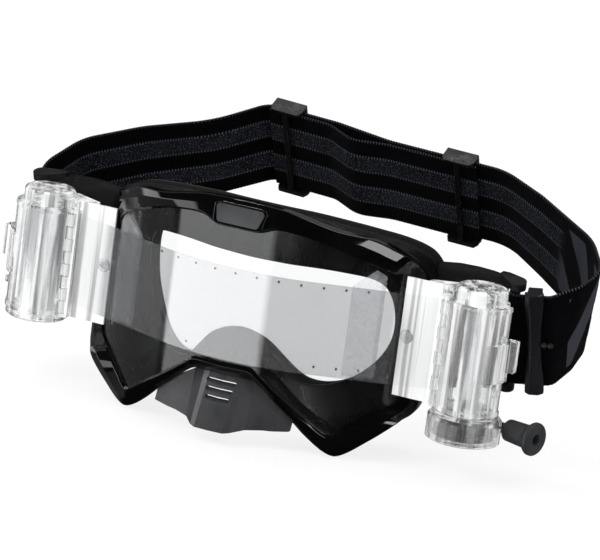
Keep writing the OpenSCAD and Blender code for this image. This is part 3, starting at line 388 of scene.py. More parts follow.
def brushed_pile(name, dark, light, pitch):
    """Brushed fleece: short fibres as a stretched noise over a coarse one, with a sheen at grazing angles."""
    made, tree, surface, where = new_finish(name, light, 0.95, Sheen_Weight=0.12, Sheen_Roughness=0.4)
    fibre = noise(tree, drawn_out(tree, where, 1, 3, 1), pitch, 6)
    tree.links.new(blend_colour(tree, spread(tree, fibre, 0, 1), dark, light), surface.inputs["Base Color"])
    coarse = raise_by(tree, surface, noise(tree, where, 180, 2), 0.0006, 0.5)
    raise_by(tree, surface, fibre, 0.0003, 0.8, coarse)
    return made


def brushed_metal(name, colour, roughness, pitch=2200):
    """Drawn metal: fine lines from a noise stretched along the work, in gloss and in height."""
    made, tree, surface, where = new_finish(name, colour, roughness, Metallic=1.0)
    line = noise(tree, drawn_out(tree, where, 1, 1, 0.04), pitch, 4)
    tree.links.new(spread(tree, line, roughness * 0.6, roughness * 1.5), surface.inputs["Roughness"])
    tree.links.new(blend_colour(tree, line, [c * 0.7 for c in colour], colour), surface.inputs["Base Color"])
    raise_by(tree, surface, line, 0.00001)
    return made


WIDTH = 43.0
STRIPES = ((0.20, 0.40), (0.60, 0.80))
STRIPES_FROM, BARS_FROM, BAR_PITCH = 88.0, 34.0, 26.0
BAR_GREY = (0.045, 0.048, 0.060)
TWILL, RIB, THREAD = 0.85, 1.3, 0.7


def woven_strap(name, ground, warp, stripe, fleck):
    """Woven elastic: a twill of floats along and across, two tonal stripes with bright stitched borders, light
    flecks in the stripes, and slanted tonal bars near the end that has none. The flecks are the silicone grip's
    dots, partly their own tone and partly painted glints of their gloss. Along and across come from the piece's
    map, in millimetres and as a share of the width."""
    made, tree, surface, _ = new_finish(name, ground, 0.68, Sheen_Weight=0.01, Sheen_Roughness=0.35,
                                        Specular_IOR_Level=0.05)
    both = add(tree, "UVMap", uv_map="along_across").outputs[0]
    parts = add(tree, "SeparateXYZ", {0: both})
    along, across = parts.outputs[0], parts.outputs[1]

    def sums(kind, *values):
        return maths(tree, kind, *values)

    def wave(value, length):
        return sums("SINE", sums("MULTIPLY", value, 2 * math.pi / length))

    down = sums("MULTIPLY", across, WIDTH)
    twill, ribs, threads = wave(sums("ADD", along, down), TWILL), wave(along, RIB), wave(down, THREAD)
    weave = sums("MULTIPLY_ADD", twill, 0.5, sums("MULTIPLY_ADD", ribs, 0.3, sums("MULTIPLY", threads, 0.2)))
    scaled = add(tree, "CombineXYZ", {0: along, 1: down}).outputs[0]
    grit = noise(tree, scaled, 1.6, 5)
    cloud = noise(tree, scaled, 0.06, 3)
    band, border = None, None
    for low, high in STRIPES:
        middle, half = (low + high) / 2, (high - low) / 2
        away = sums("ABSOLUTE", sums("SUBTRACT", across, middle))
        inside = spread(tree, away, 1, 0, half - 0.012, half + 0.006)
        line = spread(tree, sums("ABSOLUTE", sums("SUBTRACT", away, half)), 1, 0, 0.004, 0.017)
        band = inside if band is None else sums("MAXIMUM", band, inside)
        border = line if border is None else sums("MAXIMUM", border, line)
    striped = spread(tree, along, 0, 1, STRIPES_FROM, STRIPES_FROM + 6)
    band, border = sums("MULTIPLY", band, striped), sums("MULTIPLY", border, striped)
    slant = wave(sums("MULTIPLY_ADD", down, 0.7, along), BAR_PITCH)
    bars = sums("MULTIPLY", spread(tree, slant, 0, 1, 0.12, 0.22),
                spread(tree, along, 0, 1, BARS_FROM, BARS_FROM + 0.4))
    bars = sums("MULTIPLY", bars, sums("SUBTRACT", 1.0, striped))
    bars = sums("MULTIPLY", bars, sums("COMPARE", across, 0.5, 0.4))
    stitch = spread(tree, ribs, 0, 1, 0.1, 0.8)
    edge = spread(tree, sums("ABSOLUTE", sums("SUBTRACT", across, 0.5)), 0, 1, 0.478, 0.492)
    base = blend_colour(tree, spread(tree, weave, 0, 1, -0.5, 0.8), ground, warp)
    for part, colour in ((sums("MULTIPLY", band, spread(tree, cloud, 0.35, 1.0, 0.3, 0.7)), stripe),
                         # flecks: the silicone grip's dots, lightened as painted glints of their gloss
                         (sums("MULTIPLY", band, spread(tree, grit, 0, 0.8, 0.56, 0.7)), fleck),
                         (sums("MULTIPLY", border, sums("MULTIPLY", stitch, 0.55)), fleck),
                         (sums("MULTIPLY", edge, sums("MULTIPLY", stitch, 0.35)), fleck),
                         (sums("MULTIPLY", bars, 0.85), BAR_GREY)):
        base = blend_colour(tree, part, base, colour)
    tree.links.new(base, surface.inputs["Base Color"])
    raise_by(tree, surface, weave, 0.00022, 0.8, raise_by(tree, surface, grit, 0.0002, 0.5))
    return made


def braided(name, dark, light):
    """Braided cord: two sets of strands that cross on the slant, from the piece's map."""
    made, tree, surface, _ = new_finish(name, dark, 0.7, Sheen_Weight=0.2)
    parts = add(tree, "SeparateXYZ", {0: add(tree, "UVMap", uv_map="along_across").outputs[0]})
    strands = []
    for way in (1, -1):
        slant = maths(tree, "MULTIPLY_ADD", parts.outputs[1], 4.0 * way, parts.outputs[0])
        strands.append(maths(tree, "SINE", maths(tree, "MULTIPLY", slant, 2 * math.pi)))
    braid = maths(tree, "MAXIMUM", *strands)
    tree.links.new(blend_colour(tree, spread(tree, braid, 0, 1, -0.2, 0.9), dark, light),
                   surface.inputs["Base Color"])
    raise_by(tree, surface, braid, 0.00012)
    return made


def wound_film(name, colour, milk):
    """Film wound on its core: a pale glossy roll with tight lines along it, cloudy within. The same lines
    darken its colour in streaks, a painted reflection of dark surroundings on the glossy roll.
    """
    made, tree, surface, where = new_finish(name, colour, 0.12, IOR=1.5, Transmission_Weight=1 - milk,
                                            Coat_Weight=0.6, Coat_Roughness=0.05)
    run = noise(tree, drawn_out(tree, where, 1, 1, 0.02), 420, 3)
    # painted reflection: dark streaks in the roll's colour
    tree.links.new(blend_colour(tree, spread(tree, run, 0, 1, 0.38, 0.56), [c * 0.42 for c in colour], colour),
                   surface.inputs["Base Color"])
    tree.links.new(spread(tree, run, 0.06, 0.22), surface.inputs["Roughness"])
    raise_by(tree, surface, run, 0.00006)
    lamps_through(tree, surface, (0.55, 0.55, 0.56))
    return made


GLOSS_RIM = moulded("gloss_rim", (0.0015, 0.0015, 0.0018), 0.07, 1500, 0.000002, 0.3, 40, 0.06,
                    Specular_IOR_Level=0.5)
REAR_SHELL = moulded("rear_shell", (0.003, 0.0031, 0.0034), 0.3, 3000, 0.00003, Specular_IOR_Level=0.2)
ARM_PLASTIC = moulded("arm_plastic", (0.006, 0.0062, 0.0066), 0.36, 2600, 0.00004, Specular_IOR_Level=0.3)
GUARD_PLASTIC = moulded("guard_plastic", (0.042, 0.043, 0.046), 0.26, 3200, 0.00003)
BADGE_PLASTIC = moulded("badge_plastic", (0.055, 0.057, 0.061), 0.32, 3600, 0.00002)
SLIDER_PLASTIC = moulded("slider_plastic", (0.005, 0.0052, 0.0056), 0.30, 2600, 0.00004,
                         Specular_IOR_Level=0.35)
KEEPER_PLASTIC = moulded("keeper_plastic", (0.009, 0.0093, 0.011), 0.2, 2000, 0.00002, Specular_IOR_Level=0.4)
HANDLE_RUBBER = moulded("handle_rubber", (0.028, 0.0295, 0.031), 0.42, 2400, 0.00005, Specular_IOR_Level=0.35)
PLUG_PLASTIC = moulded("plug_plastic", (0.012, 0.012, 0.013), 0.35)
SEAL_RUBBER = moulded("seal_rubber", (0.016, 0.016, 0.017), 0.6, 2200, 0.00004)
DRIVE_PLASTIC = moulded("drive_plastic", (0.012, 0.012, 0.013), 0.28, 2400, 0.00003)
CORE_PLASTIC = moulded("core_plastic", (0.72, 0.73, 0.74), 0.3, 2000, 0.00002, 0.06, Subsurface_Weight=0.15)
DARK_CORE = moulded("dark_core", (0.03, 0.031, 0.033), 0.25, 2000, 0.00002)
LENS_SHEET = clear_sheet("lens_sheet", (0.98, 0.985, 0.988), 1.35, 0.002)
FILM_SHEET = clear_sheet("film_sheet", (0.81, 0.812, 0.815), 3.6, 0.035, 0.03, tight=0.0655)
GUIDE_CLEAR = clear_sheet("guide_clear", (0.96, 0.965, 0.97), 1.2, 0.12, 0.03)
BUMP_CLEAR = moulded("bump_clear", (0.10, 0.105, 0.11), 0.15, 1800, 0.00001)
CANISTER_CLEAR = clear_moulding("canister_clear", (0.98, 0.985, 0.99), (0.02, 0.62), plate=0.87)
DRUM_CLEAR = clear_moulding("drum_clear", (0.97, 0.975, 0.98), (0.03, 0.25))
PIN_CLEAR = clear_moulding("pin_clear", (0.95, 0.955, 0.96), (0.4, 0.6), 0.08)
FILM_ROLL = wound_film("film_roll", (0.84, 0.86, 0.88), 0.55)
FOAM_BASE = cellular("foam_base", (0.004, 0.0036, 0.0032), (0.015, 0.0136, 0.0124), 1700, 0.0003)
FOAM_SOFT = cellular("foam_soft", (0.004, 0.0036, 0.0032), (0.016, 0.0147, 0.0135), 1500, 0.00035)
VENT_MESH = cellular("vent_mesh", (0.006, 0.006, 0.006), (0.03, 0.03, 0.032), 900, 0.0004)
FLEECE = brushed_pile("fleece", (0.004, 0.004, 0.0045), (0.018, 0.018, 0.02), 1500)
SPRING_STEEL = brushed_metal("spring_steel", (0.52, 0.53, 0.55), 0.25)
BUSH_METAL = brushed_metal("bush_metal", (0.62, 0.62, 0.61), 0.22)
WEBBING = woven_strap("webbing", (0.0008, 0.0009, 0.0016), (0.0026, 0.0028, 0.0046), (0.010, 0.0115, 0.017),
                      (0.17, 0.18, 0.21))
CORD_BRAID = braided("cord_braid", (0.006, 0.006, 0.0065), (0.03, 0.03, 0.032))


# ---- frame: outlines, matched point by point from the brow to the nose arch ----

LENS_R, PROUD, RIM_DEPTH = 91.0, 2.2, 9.0
CLEAR, POCKET, POCKET_D = 0.25, 3.1, 2.7
REAR_WALL, LAYER_GAP, PRESS = 2.6, 0.3, 1.5
BASE_T, SOFT_T, FLEECE_T = 5.0, 5.4, 1.8
FOAM_T = BASE_T + SOFT_T + FLEECE_T
WINDOW = [[0, 37.3], [10, 37.3], [18, 39.9], [33, 37.9], [47, 33], [56, 29], [62, 25.5], [67.5, 18.5],
          [70.7, 10], [72, 0], [71.5, -16], [69.4, -29.3], [63, -34], [57, -38.3], [52, -42.2], [46.8, -45.7],
          [39, -40.4], [31, -35], [22, -28.5], [15.5, -23.4], [12, -21.4], [0, -21.4]]
RIM = [[0, 48.5], [12.5, 48], [22, 46.9], [40, 42.6], [52, 40.7], [60.5, 37], [69, 32], [73.4, 23.6],
       [76, 11], [77.2, 0], [77.2, -16], [76.2, -32.2], [73, -36.4], [69.4, -40.2], [59.6, -48.8], [49, -55.6],
       [39, -50], [32, -43.2], [24.5, -36.4], [17.5, -30.2], [12, -27.5], [0, -27.5]]
FOAM_OUT = [[0, 42.8], [12, 42.8], [22, 42.7], [36, 41.4], [50, 39.4], [60, 37.2], [69.5, 33], [74.5, 24.6],
            [77, 12], [78, 0], [77.5, -14], [76, -28], [71, -36], [66, -42], [58, -47], [49, -50.5],
            [39, -46.5], [32, -41], [25, -34.5], [18, -28.5], [12, -25.5], [0, -24]]
FOAM_IN = [[0, 21], [10, 21.2], [19, 21.4], [30, 21.4], [41, 20.6], [49, 19.2], [54, 15.8], [56.6, 9.8],
           [57.6, 3], [57.6, -3], [56.8, -9], [54.6, -15], [51.6, -20], [48, -24], [44, -27], [38.5, -29.6],
           [32.5, -30.6], [26.5, -29.2], [21.5, -25], [16.5, -19], [10, -12.5], [0, -9.5]]
FACE_D = [34, 34.3, 35.2, 38.8, 43.8, 48.6, 53.2, 57, 59.8, 61.3, 61.8, 61, 58.6, 55, 50.8, 46,
          41, 36, 31.5, 27, 22.5, 20.5]
FOAM_SHARE = [1] * 17 + [0.95, 0.85, 0.74, 0.64, 0.6]
DIP, DIP_AT, DIP_R = 3.5, np.array([66, 21.5]), 9.0
SLOPE_AT, SLOPE_FALL, BROAD = 0.62, 3.2, 2.2
LIP_FALL, CREST_AT, SET_IN, LENS_SIDE = 0.9, 1.2, 0.5, -CLEAR - 0.38
FOAM_LEDGE, SHELL_INNER = 0.4, 3.2


def both_halves(half):
    """The right half and, back from the nose arch to the brow, its mirror image, refined three times."""
    half = np.asarray(half, float)
    other = half[-2:0:-1].copy()
    if half.ndim == 2:
        other[:, 0] *= -1
    return finer(np.concatenate([half, other]), 3)


window, rim, foam_out, foam_in = map(both_halves, (WINDOW, RIM, FOAM_OUT, FOAM_IN))
face_d, foam_share = both_halves(FACE_D), both_halves(FOAM_SHARE)


def lens_d(x):
    """Depth of the lens surface: radius less the root of radius squared less x squared."""
    return LENS_R - np.sqrt(LENS_R ** 2 - x ** 2)


def at_depth(flat, depth):
    """Point of the front view at a depth."""
    return np.stack([flat[:, 0], np.broadcast_to(depth, len(flat)), flat[:, 1]], 1)


def on_lens(flat, depth):
    """Point at a depth behind the lens surface, measured straight back."""
    return at_depth(flat, lens_d(flat[:, 0]) + depth)


def in_lens(flat, depth):
    """Point at a depth inside the lens cylinder, measured along its radius."""
    return at_depth(flat, LENS_R - np.sqrt((LENS_R - depth) ** 2 - flat[:, 0] ** 2))


out_dir = unit(rim - window)
d_here = lens_d(window[:, 0])
dipped = DIP * np.maximum(0, 1 - np.linalg.norm(np.abs(window) - DIP_AT, axis=1) / DIP_R)
dipped[window[:, 1] < 0] = 0
rim_width = np.linalg.norm(rim - window, axis=1)[:, None]

rim_sections = np.stack([
    on_lens(window, np.minimum(dipped - PROUD + LIP_FALL, LENS_SIDE)),
    on_lens(window + out_dir * CREST_AT, np.minimum(dipped - PROUD, LENS_SIDE)),
    at_depth(window + out_dir * rim_width * SLOPE_AT, d_here + dipped + BROAD - PROUD),
    at_depth(rim, d_here + dipped + SLOPE_FALL),
    at_depth(rim - out_dir * SET_IN, d_here + RIM_DEPTH),
    in_lens(window + out_dir * POCKET, POCKET_D),
    in_lens(window + out_dir * POCKET, -CLEAR),
    in_lens(window, -CLEAR)], 1)
front_rim = loft("front_rim", rounded(rim_sections, [0.12, 0.3, 0.45, 0.6, 0.4, 0.2, 0.15, 0.1], 4), GLOSS_RIM,
                 slot="rim_plastic")
add_modifier(front_rim, "WEIGHTED_NORMAL", keep_sharp=True, weight=40)
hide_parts("front_frame")

foam_dir = unit(foam_out - foam_in)
foam_depth = FOAM_T * foam_share
seat_start = d_here + RIM_DEPTH + LAYER_GAP
back_at = np.maximum(face_d, seat_start + REAR_WALL + 0.4 + foam_depth + LAYER_GAP)
seat = back_at - foam_depth - LAYER_GAP
pocket_back = POCKET_D + LAYER_GAP
rear_sections = np.stack([
    at_depth(rim - out_dir * SET_IN, seat_start),
    at_depth(foam_out + foam_dir * FOAM_LEDGE, seat - REAR_WALL),
    at_depth(foam_out + foam_dir * FOAM_LEDGE, seat),
    at_depth(foam_in - foam_dir * FOAM_LEDGE, seat),
    at_depth(foam_in - foam_dir * FOAM_LEDGE, seat - REAR_WALL * 0.7),
    at_depth(foam_out - foam_dir * SHELL_INNER, seat - REAR_WALL),
    in_lens(window + out_dir * SET_IN, pocket_back + PRESS),
    in_lens(window + out_dir * SET_IN, pocket_back),
    in_lens(window + out_dir * POCKET, pocket_back)], 1)
rear_shell = loft("rear_shell", rounded(rear_sections, [0.35, 0.5, 0.4, 0.3, 0.3, 0.5, 0.25, 0.2, 0.2], 3),
                  REAR_SHELL, slot="frame_plastic")

VENT_W, VENT_D, VENT_LEAN = 15.0, 4.4, 7
VENT_X, VENT_BACK, VENT_UP = (12, 33), 14, 42


def at_vents(points):
    """The points at each of the four vents in the brow, each leaned a little outwards."""
    return [turned(points, y=side * VENT_LEAN) + [side * x, VENT_BACK + lens_d(x) * 0.8, VENT_UP]
            for side in (-1, 1) for x in VENT_X]


vent_points, vent_faces = pill(VENT_W, VENT_D, 14)
cut_with(rear_shell, [mesh_piece(f"vent_cutter_{i}", place(p), vent_faces, REAR_SHELL, body=None)
                      for i, p in enumerate(at_vents(vent_points))])
add_modifier(rear_shell, "WEIGHTED_NORMAL", keep_sharp=True, weight=40)
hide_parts("rear_frame")


def tube(path, radius, sides):
    """Sections of a round tube along a path: cosine and sine of the angle times two directions square to it."""
    path = np.asarray(path, float)
    ahead = unit(np.gradient(path, axis=0))
    first = unit(np.cross(ahead, [0, 0, 1.0]))
    second = np.cross(first, ahead)
    a = np.linspace(0, 2 * math.pi, sides, endpoint=False)
    return path[:, None] + radius * (np.cos(a)[:, None] * first[:, None] + np.sin(a)[:, None] * second[:, None])


def ring_of(points, radius, sides=8):
    """Sections of a round bead along a closed loop of points, square to a fixed axis through the loop."""
    ahead = unit(np.roll(points, -1, 0) - np.roll(points, 1, 0))
    axis = unit(np.cross(points[0] - points.mean(0), points[len(points) // 4] - points.mean(0)))
    side = unit(np.cross(ahead, axis))
    a = np.linspace(0, 2 * math.pi, sides, endpoint=False)[:, None]
    return points[:, None] + radius * (np.cos(a) * side[:, None] + np.sin(a) * axis)


# ---- foam ----


def foam_layer(near, far_from, shrink, crown, bulge=0.0):
    """Eight-point section of one foam layer between two depths in front of the face, drawn in at its edges."""
    middle = (foam_out + foam_in) / 2
    outer, inner = foam_out - foam_dir * shrink, foam_in + foam_dir * shrink
    half = back_at - (near + far_from) / 2 * foam_share
    return np.stack([
        at_depth(outer, back_at - far_from * foam_share), at_depth(outer + foam_dir * 0.3, half),
        at_depth(outer - foam_dir * crown, back_at - near * foam_share),
        at_depth(middle, back_at - near * foam_share + bulge),
        at_depth(inner + foam_dir * crown, back_at - near * foam_share), at_depth(inner - foam_dir * 0.3, half),
        at_depth(inner, back_at - far_from * foam_share), at_depth(middle, back_at - far_from * foam_share)], 1)


COVERED = SOFT_T + FLEECE_T
LAYERS = [("base_foam", "foam_base", FOAM_BASE, "foam", 0.7, (COVERED + 0.85, FOAM_T - 0.05, 0.4, 0.0), 0.8),
          ("soft_foam", "foam_soft", FOAM_SOFT, "foam", 0.6, (FLEECE_T + 0.55, COVERED + 0.5, 0.3, 0.5), 1.6),
          ("fleece_layer", "face_fleece", FLEECE, "fleece", 0.5, (0, FLEECE_T + 0.25, 0.8, 1.2, 0.5), 1.1)]
for piece_name, node, finish, slot_name, fill, sizes, radius in LAYERS:
    pad = loft(piece_name, rounded(foam_layer(*sizes), radius, 5), finish, slot=slot_name)
    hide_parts(node)

mesh_points, mesh_faces = pill(VENT_W - 0.6, VENT_D - 0.6, 1.2)
for i, points in enumerate(at_vents(mesh_points)):
    patch = mesh_piece(f"vent_mesh_{i + 1}", place(points), mesh_faces, VENT_MESH, slot="vent_foam",
                       smooth=False)
    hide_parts("vent_foam")

# ---- nose guard ----

GUARD_T = 2.2
GUARD = np.array([[0, -28, 3.4, -50, -7], [6.5, -28, 3.6, -50, -6.6], [9, -28, 3.9, -49.6, -5],
                  [13.5, -28.9, 4.6, -48.6, 1], [20, -33.2, 5.8, -47.9, 4], [24.5, -37.2, 6.9, -47.6, 5.2],
                  [31, -43, 8.5, -46.6, 6.8]])
TUCKED_UNDER_RIM = [0.4, 0.4, 0.4, 0.8, 1.0, 1.0, 1.0]
GUARD[:, 1] += TUCKED_UNDER_RIM
guard_half = np.stack([GUARD[:, [0, 2, 1]], GUARD[:, [0, 4, 3]], GUARD[:, [0, 4, 3]] + [0, GUARD_T, 0],
                       GUARD[:, [0, 2, 1]] + [0, GUARD_T, 0]], 1)
nose_guard = loft("nose_plate", np.concatenate([guard_half[:0:-1] * [-1, 1, 1], guard_half]), GUARD_PLASTIC,
                  ring=False, slot="guard_plastic", smooth=True)
LOUVRES, LOUVRE_L, LOUVRE_SHORTER, LOUVRE_W = 3, 13.8, 1.4, 1.5
LOUVRE_STEP, LOUVRE_TOP = 2.8, -31.5
louvres = []
for i in range(LOUVRES):
    points, faces = pill(LOUVRE_L - LOUVRE_SHORTER * i, LOUVRE_W, 30, 8)
    points = turned(turned(points, x=90), x=20) + [0, 0, LOUVRE_TOP - LOUVRE_STEP * i]
    louvres.append(mesh_piece(f"louvre_cutter_{i}", place(points), faces, GUARD_PLASTIC, body=None))
cut_with(nose_guard, louvres)
crisp(nose_guard, 0.3, 3, 12)
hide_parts("nose_guard")

# ---- badge: a bare plate in a raised border, and small bumps on the lens ----

BADGE_SLOPE, BADGE_HALF, BADGE_H, BADGE_AT = 21, 10.7, 7.8, [0, -0.85, 42.3]
BORDER_OUT, BORDER_R, SQUARENESS, FLARE = 0.75, 0.5, 0.28, 0.010


def squared_off(wave):
    """The wave's sign times its size to a small power, which turns a circle into a rounded rectangle."""
    return np.sign(wave) * np.abs(wave) ** SQUARENESS


round_border = np.linspace(0, 2 * math.pi, 96, endpoint=False)
border = np.stack([squared_off(np.cos(round_border)) * (BADGE_HALF + BORDER_OUT),
                   squared_off(np.sin(round_border)) * (BADGE_H / 2 + BORDER_OUT), np.full(96, 0.35)], 1)
border[:, 0] *= 1 + FLARE * border[:, 1]
border = turned(border, x=90 - BADGE_SLOPE) + BADGE_AT
loft("badge_border", ring_of(border, BORDER_R), GLOSS_RIM, slot="rim_plastic")

BUMP_R, BUMP_H, BUMP_SINK = 0.58, 0.56, 0.2
BUMP_STEP, BUMP_SHIFT, BUMP_ROWS = 6, 0.09, (17.8, -16.6)


def lens_bumps():
    """Domes on the lens, thirteen to a row: rings of points round a dome at equal steps of a quarter circle,
    closed by its top and by a foot sunk in the lens."""
    sides, rings = 8, 4
    around = np.linspace(0, 2 * math.pi, sides, endpoint=False)
    climb = np.linspace(0, math.pi / 2, rings, endpoint=False)
    ring = np.stack([np.outer(np.cos(climb), np.cos(around)), np.outer(np.cos(climb), np.sin(around)),
                     np.outer(np.sin(climb), np.ones(sides))], -1).reshape(-1, 3) * [BUMP_R, BUMP_R, BUMP_H]
    dome = np.vstack([ring, [[0, 0, BUMP_H]], [[0, 0, -BUMP_SINK]]])
    last, top, foot = sides * (rings - 1), sides * rings, sides * rings + 1
    faces = grid_faces(rings, sides, False).tolist()
    faces += [[last + j, last + (j + 1) % sides, top] for j in range(sides)]
    faces += [[(j + 1) % sides, j, foot] for j in range(sides)]
    points, all_faces = [], []
    for row in BUMP_ROWS:
        for i in range(-6, 7):
            a = math.radians((i + BUMP_SHIFT) * BUMP_STEP)
            outward = np.array([math.sin(a), -math.cos(a), 0])
            side = np.array([math.cos(a), math.sin(a), 0])
            here = np.array([LENS_R * math.sin(a), LENS_R - LENS_R * math.cos(a), row])
            all_faces += [[c + len(points) * len(dome) for c in f] for f in faces]
            points.append(here + dome @ np.stack([side, [0, 0, 1.0], outward]))
    mesh_piece("lens_bumps", place(np.vstack(points)), all_faces, BUMP_CLEAR, slot="lens_clear")


lens_bumps()

# ---- strap ----

TILT, STRAP_TOP, STRAP_T = math.radians(28), 3.0, 1.6
BAR_R, BAR_GAP = 1.5, 0.3
LOOP_R = BAR_R + BAR_GAP + STRAP_T / 2
ANCHOR_TOP, ANCHOR_LOW = np.array([110.5, 50.0]), np.array([107.5, 40.8])
LEAD_A = math.radians(13.4)
LEAD = np.array([math.cos(LEAD_A), math.sin(LEAD_A)])
LEAD_SIDE = np.array([math.sin(LEAD_A), -math.cos(LEAD_A)]) * LOOP_R
ROUTE = np.array([[*(ANCHOR_TOP + LEAD_SIDE + LEAD * 14.4), *(ANCHOR_LOW + LEAD_SIDE + LEAD * 19.4), 5],
                  [134.5, 60.5, 131, 54.5, 10], [140, 73, 132, 67, 12], [129, 90.5, 123, 87, 28],
                  [98, 110.5, 97, 107, 40], [77, 121, 77, 121, 30], [22, 123.5, 22, 123.5, 60],
                  [-4, 127.8, -4, 127.8, 25], [-38, 130.2, -38, 130.2, 11], [-57, 111.5, -57, 113.5, 60],
                  [-84, 98, -84, 96.5, 50], [-106, 82, -104.5, 79, 22], [-114.5, 63, -111, 57, 16]])
TAIL = np.array([[64.5, 119.1, 0], [22, 121.05, 30], [6, 119, 16], [-7, 125.6, 12], [-36.5, 127.65, 0]])
TOOTH, TOOTH_OUT, STRIPE_PROUD, TAIL_MAP_START = 1.3, 0.22, 1.08, 200


def on_strap(flat, down):
    """Point of the strap's leaning plane, a distance below its top edge: a turn of the flat point about X."""
    h = STRAP_TOP + down
    return np.stack([flat[:, 0], flat[:, 1] * math.cos(TILT) - h * math.sin(TILT),
                     flat[:, 1] * math.sin(TILT) + h * math.cos(TILT)], 1)


def bend(before, corner, after, radius, steps=14):
    """Arc that touches both sides of a corner: points turned about the centre from one touching point."""
    u, v = unit(before - corner), unit(after - corner)
    half = math.acos(float(np.clip(u @ v, -1, 1))) / 2
    centre = corner + unit(u + v) * radius / math.sin(half)
    first, last = corner + u * radius / math.tan(half) - centre, corner + v * radius / math.tan(half) - centre
    way = 1 if first[0] * last[1] - first[1] * last[0] > 0 else -1
    q = way * (math.pi - 2 * half) * np.linspace(0, 1, steps)[:, None]
    return centre + first * np.cos(q) + first[::-1] * [-1, 1] * np.sin(q)


def loop_round(centre, start, end, steps=30):
    """Arc of the loop round an anchor bar, in degrees."""
    q = np.radians(np.linspace(start, end, steps))
    return centre + LOOP_R * np.stack([np.cos(q), np.sin(q)], 1)


def edge_line(column, anchor):
    """One edge of the strap: the loop at the near anchor, the bends of its route and the loop at the far one."""
    corners = ROUTE[:, column:column + 2]
    near = loop_round(anchor, 80, 270 + math.degrees(LEAD_A))
    away = loop_round(anchor * [-1, 1], 180, 380)
    chain = np.vstack([near[-1:], corners, away[:1]])
    return np.vstack([near] + [bend(chain[i], chain[i + 1], chain[i + 2], ROUTE[i, 4])
                               for i in range(len(ROUTE))] + [away])


def webbing(name, top, lower, finish, start=0.0):
    """Strap between two matched lines, whose map starts at a length. Stations lie a quarter tooth apart along
    the lines' mean. Across lies a closed profile of two faces with round edges, with the stripes a little proud
    and the edges drawn out in small teeth. Gives the piece and its length."""
    step = np.linalg.norm(np.diff((top + lower) / 2, axis=0), axis=1)
    so_far = np.concatenate([[0], np.cumsum(step)])
    keep = np.concatenate([[True], step > 1e-6])
    so_far, top, lower = so_far[keep], top[keep], lower[keep]
    s = np.arange(0, so_far[-1], TOOTH / 4)
    lines = [np.stack([np.interp(s, so_far, line[:, k]) for k in (0, 1)], 1) for line in (top, lower)]
    sides = [unit(np.gradient(line, axis=0))[:, ::-1] * [-1, 1] for line in lines]
    marks = sorted(v for pair in STRIPES for v in pair)
    steps_down = [m + e for m in marks for e in (-0.008, 0.008)]
    share_down = np.array([0.0, 0.006, 0.025] + steps_down + [0.975, 0.994, 1.0])
    stripe_steps = [0.9, STRIPE_PROUD, STRIPE_PROUD, 0.9] * len(STRIPES)
    proud = np.array([0.0, 0.55, 0.9] + stripe_steps + [0.9, 0.55, 0.0])
    down = np.concatenate([share_down, share_down[-2:0:-1]])
    height = np.concatenate([proud, -proud[-2:0:-1]]) * STRAP_T / 2
    tooth = TOOTH_OUT * np.maximum(0, np.sin(2 * math.pi * s / TOOTH))[:, None, None]
    outer = np.where(down < 0.03, -1.0, np.where(down > 0.97, 1.0, 0.0))[None, :, None]
    head, foot = (np.stack([on_strap(line + side * h, drop_to) for h in height], 1)
                  for line, side, drop_to in zip(lines, sides, (0, -WIDTH)))
    grid = head * (1 - down[None, :, None]) + foot * down[None, :, None]
    grid = grid + unit(foot - head) * outer * tooth
    uv = np.stack(np.broadcast_arrays(start + s[:, None], down[None, :]), -1).reshape(-1, 2)
    made = loft(name, grid, finish, ring=False, slot="webbing", uv=uv)
    return made, s[-1]


main_strap, main_length = webbing("main_strap", edge_line(0, ANCHOR_TOP), edge_line(2, ANCHOR_LOW), WEBBING)
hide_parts("strap_main")
tail_line = np.vstack([TAIL[:1, :2]] + [bend(TAIL[i - 1, :2], TAIL[i, :2], TAIL[i + 1, :2], TAIL[i, 2])
                                       for i in (1, 2, 3)] + [TAIL[4:, :2]])
strap_end, tail_length = webbing("strap_end", tail_line, tail_line, WEBBING, TAIL_MAP_START)
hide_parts("strap_tail")

# ---- pull cord ----

CAN_X, CAN_D, WIND_R, CORD_D, CORD_Z = 100.0, 29.2, 12.1, 1.1, -32.1
CORD_A = math.radians(19)
CORD_FOOT = np.array([CAN_X + WIND_R * math.sin(CORD_A), CAN_D + WIND_R * math.cos(CORD_A), CORD_Z])
CORD_DIR = np.array([math.cos(CORD_A), -math.sin(CORD_A), 0.0])
WIND_TURNS, WIND_PITCH, FIRST_DROP = 1.75, 1.6, 0.35
HANDLE_AT, CORD_SEAT, CORD_SIDES = 14.09, 6.0, 12


def cord_piece(name, path, body, node):
    """Braided tube along a path, with its map in millimetres along and turns across."""
    grid = tube(path, CORD_D / 2, CORD_SIDES)
    run = np.concatenate([[0], np.cumsum(np.linalg.norm(np.diff(path, axis=0), axis=1))])
    round_it = np.arange(CORD_SIDES)[None, :] / CORD_SIDES
    uv = np.stack(np.broadcast_arrays(run[:, None], round_it), -1).reshape(-1, 2)
    made = loft(name, grid, CORD_BRAID, ring=False, body=body, slot="cord", uv=uv)
    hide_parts(node)
    return made


turn = np.linspace(WIND_TURNS, 0, 127)
angle = math.pi / 2 - CORD_A + turn * 2 * math.pi
drop = np.interp(turn, [0, FIRST_DROP, WIND_TURNS], [0, CORD_D + 0.05, WIND_TURNS * WIND_PITCH])
winding = np.stack([CAN_X + WIND_R * np.cos(angle), CAN_D + WIND_R * np.sin(angle), CORD_Z - drop], 1)
cord_piece("cord_turns", np.vstack([winding, CORD_FOOT + CORD_DIR * CORD_D]), "pulley", "cord_winding")
pulled = CORD_FOOT + CORD_DIR * np.linspace(CORD_D + 0.02, HANDLE_AT + CORD_SEAT, 60)[:, None]
pull_cord = cord_piece("cord_pull", pulled, None, "pull_cord")
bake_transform(pull_cord)

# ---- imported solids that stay, each with its finish ----

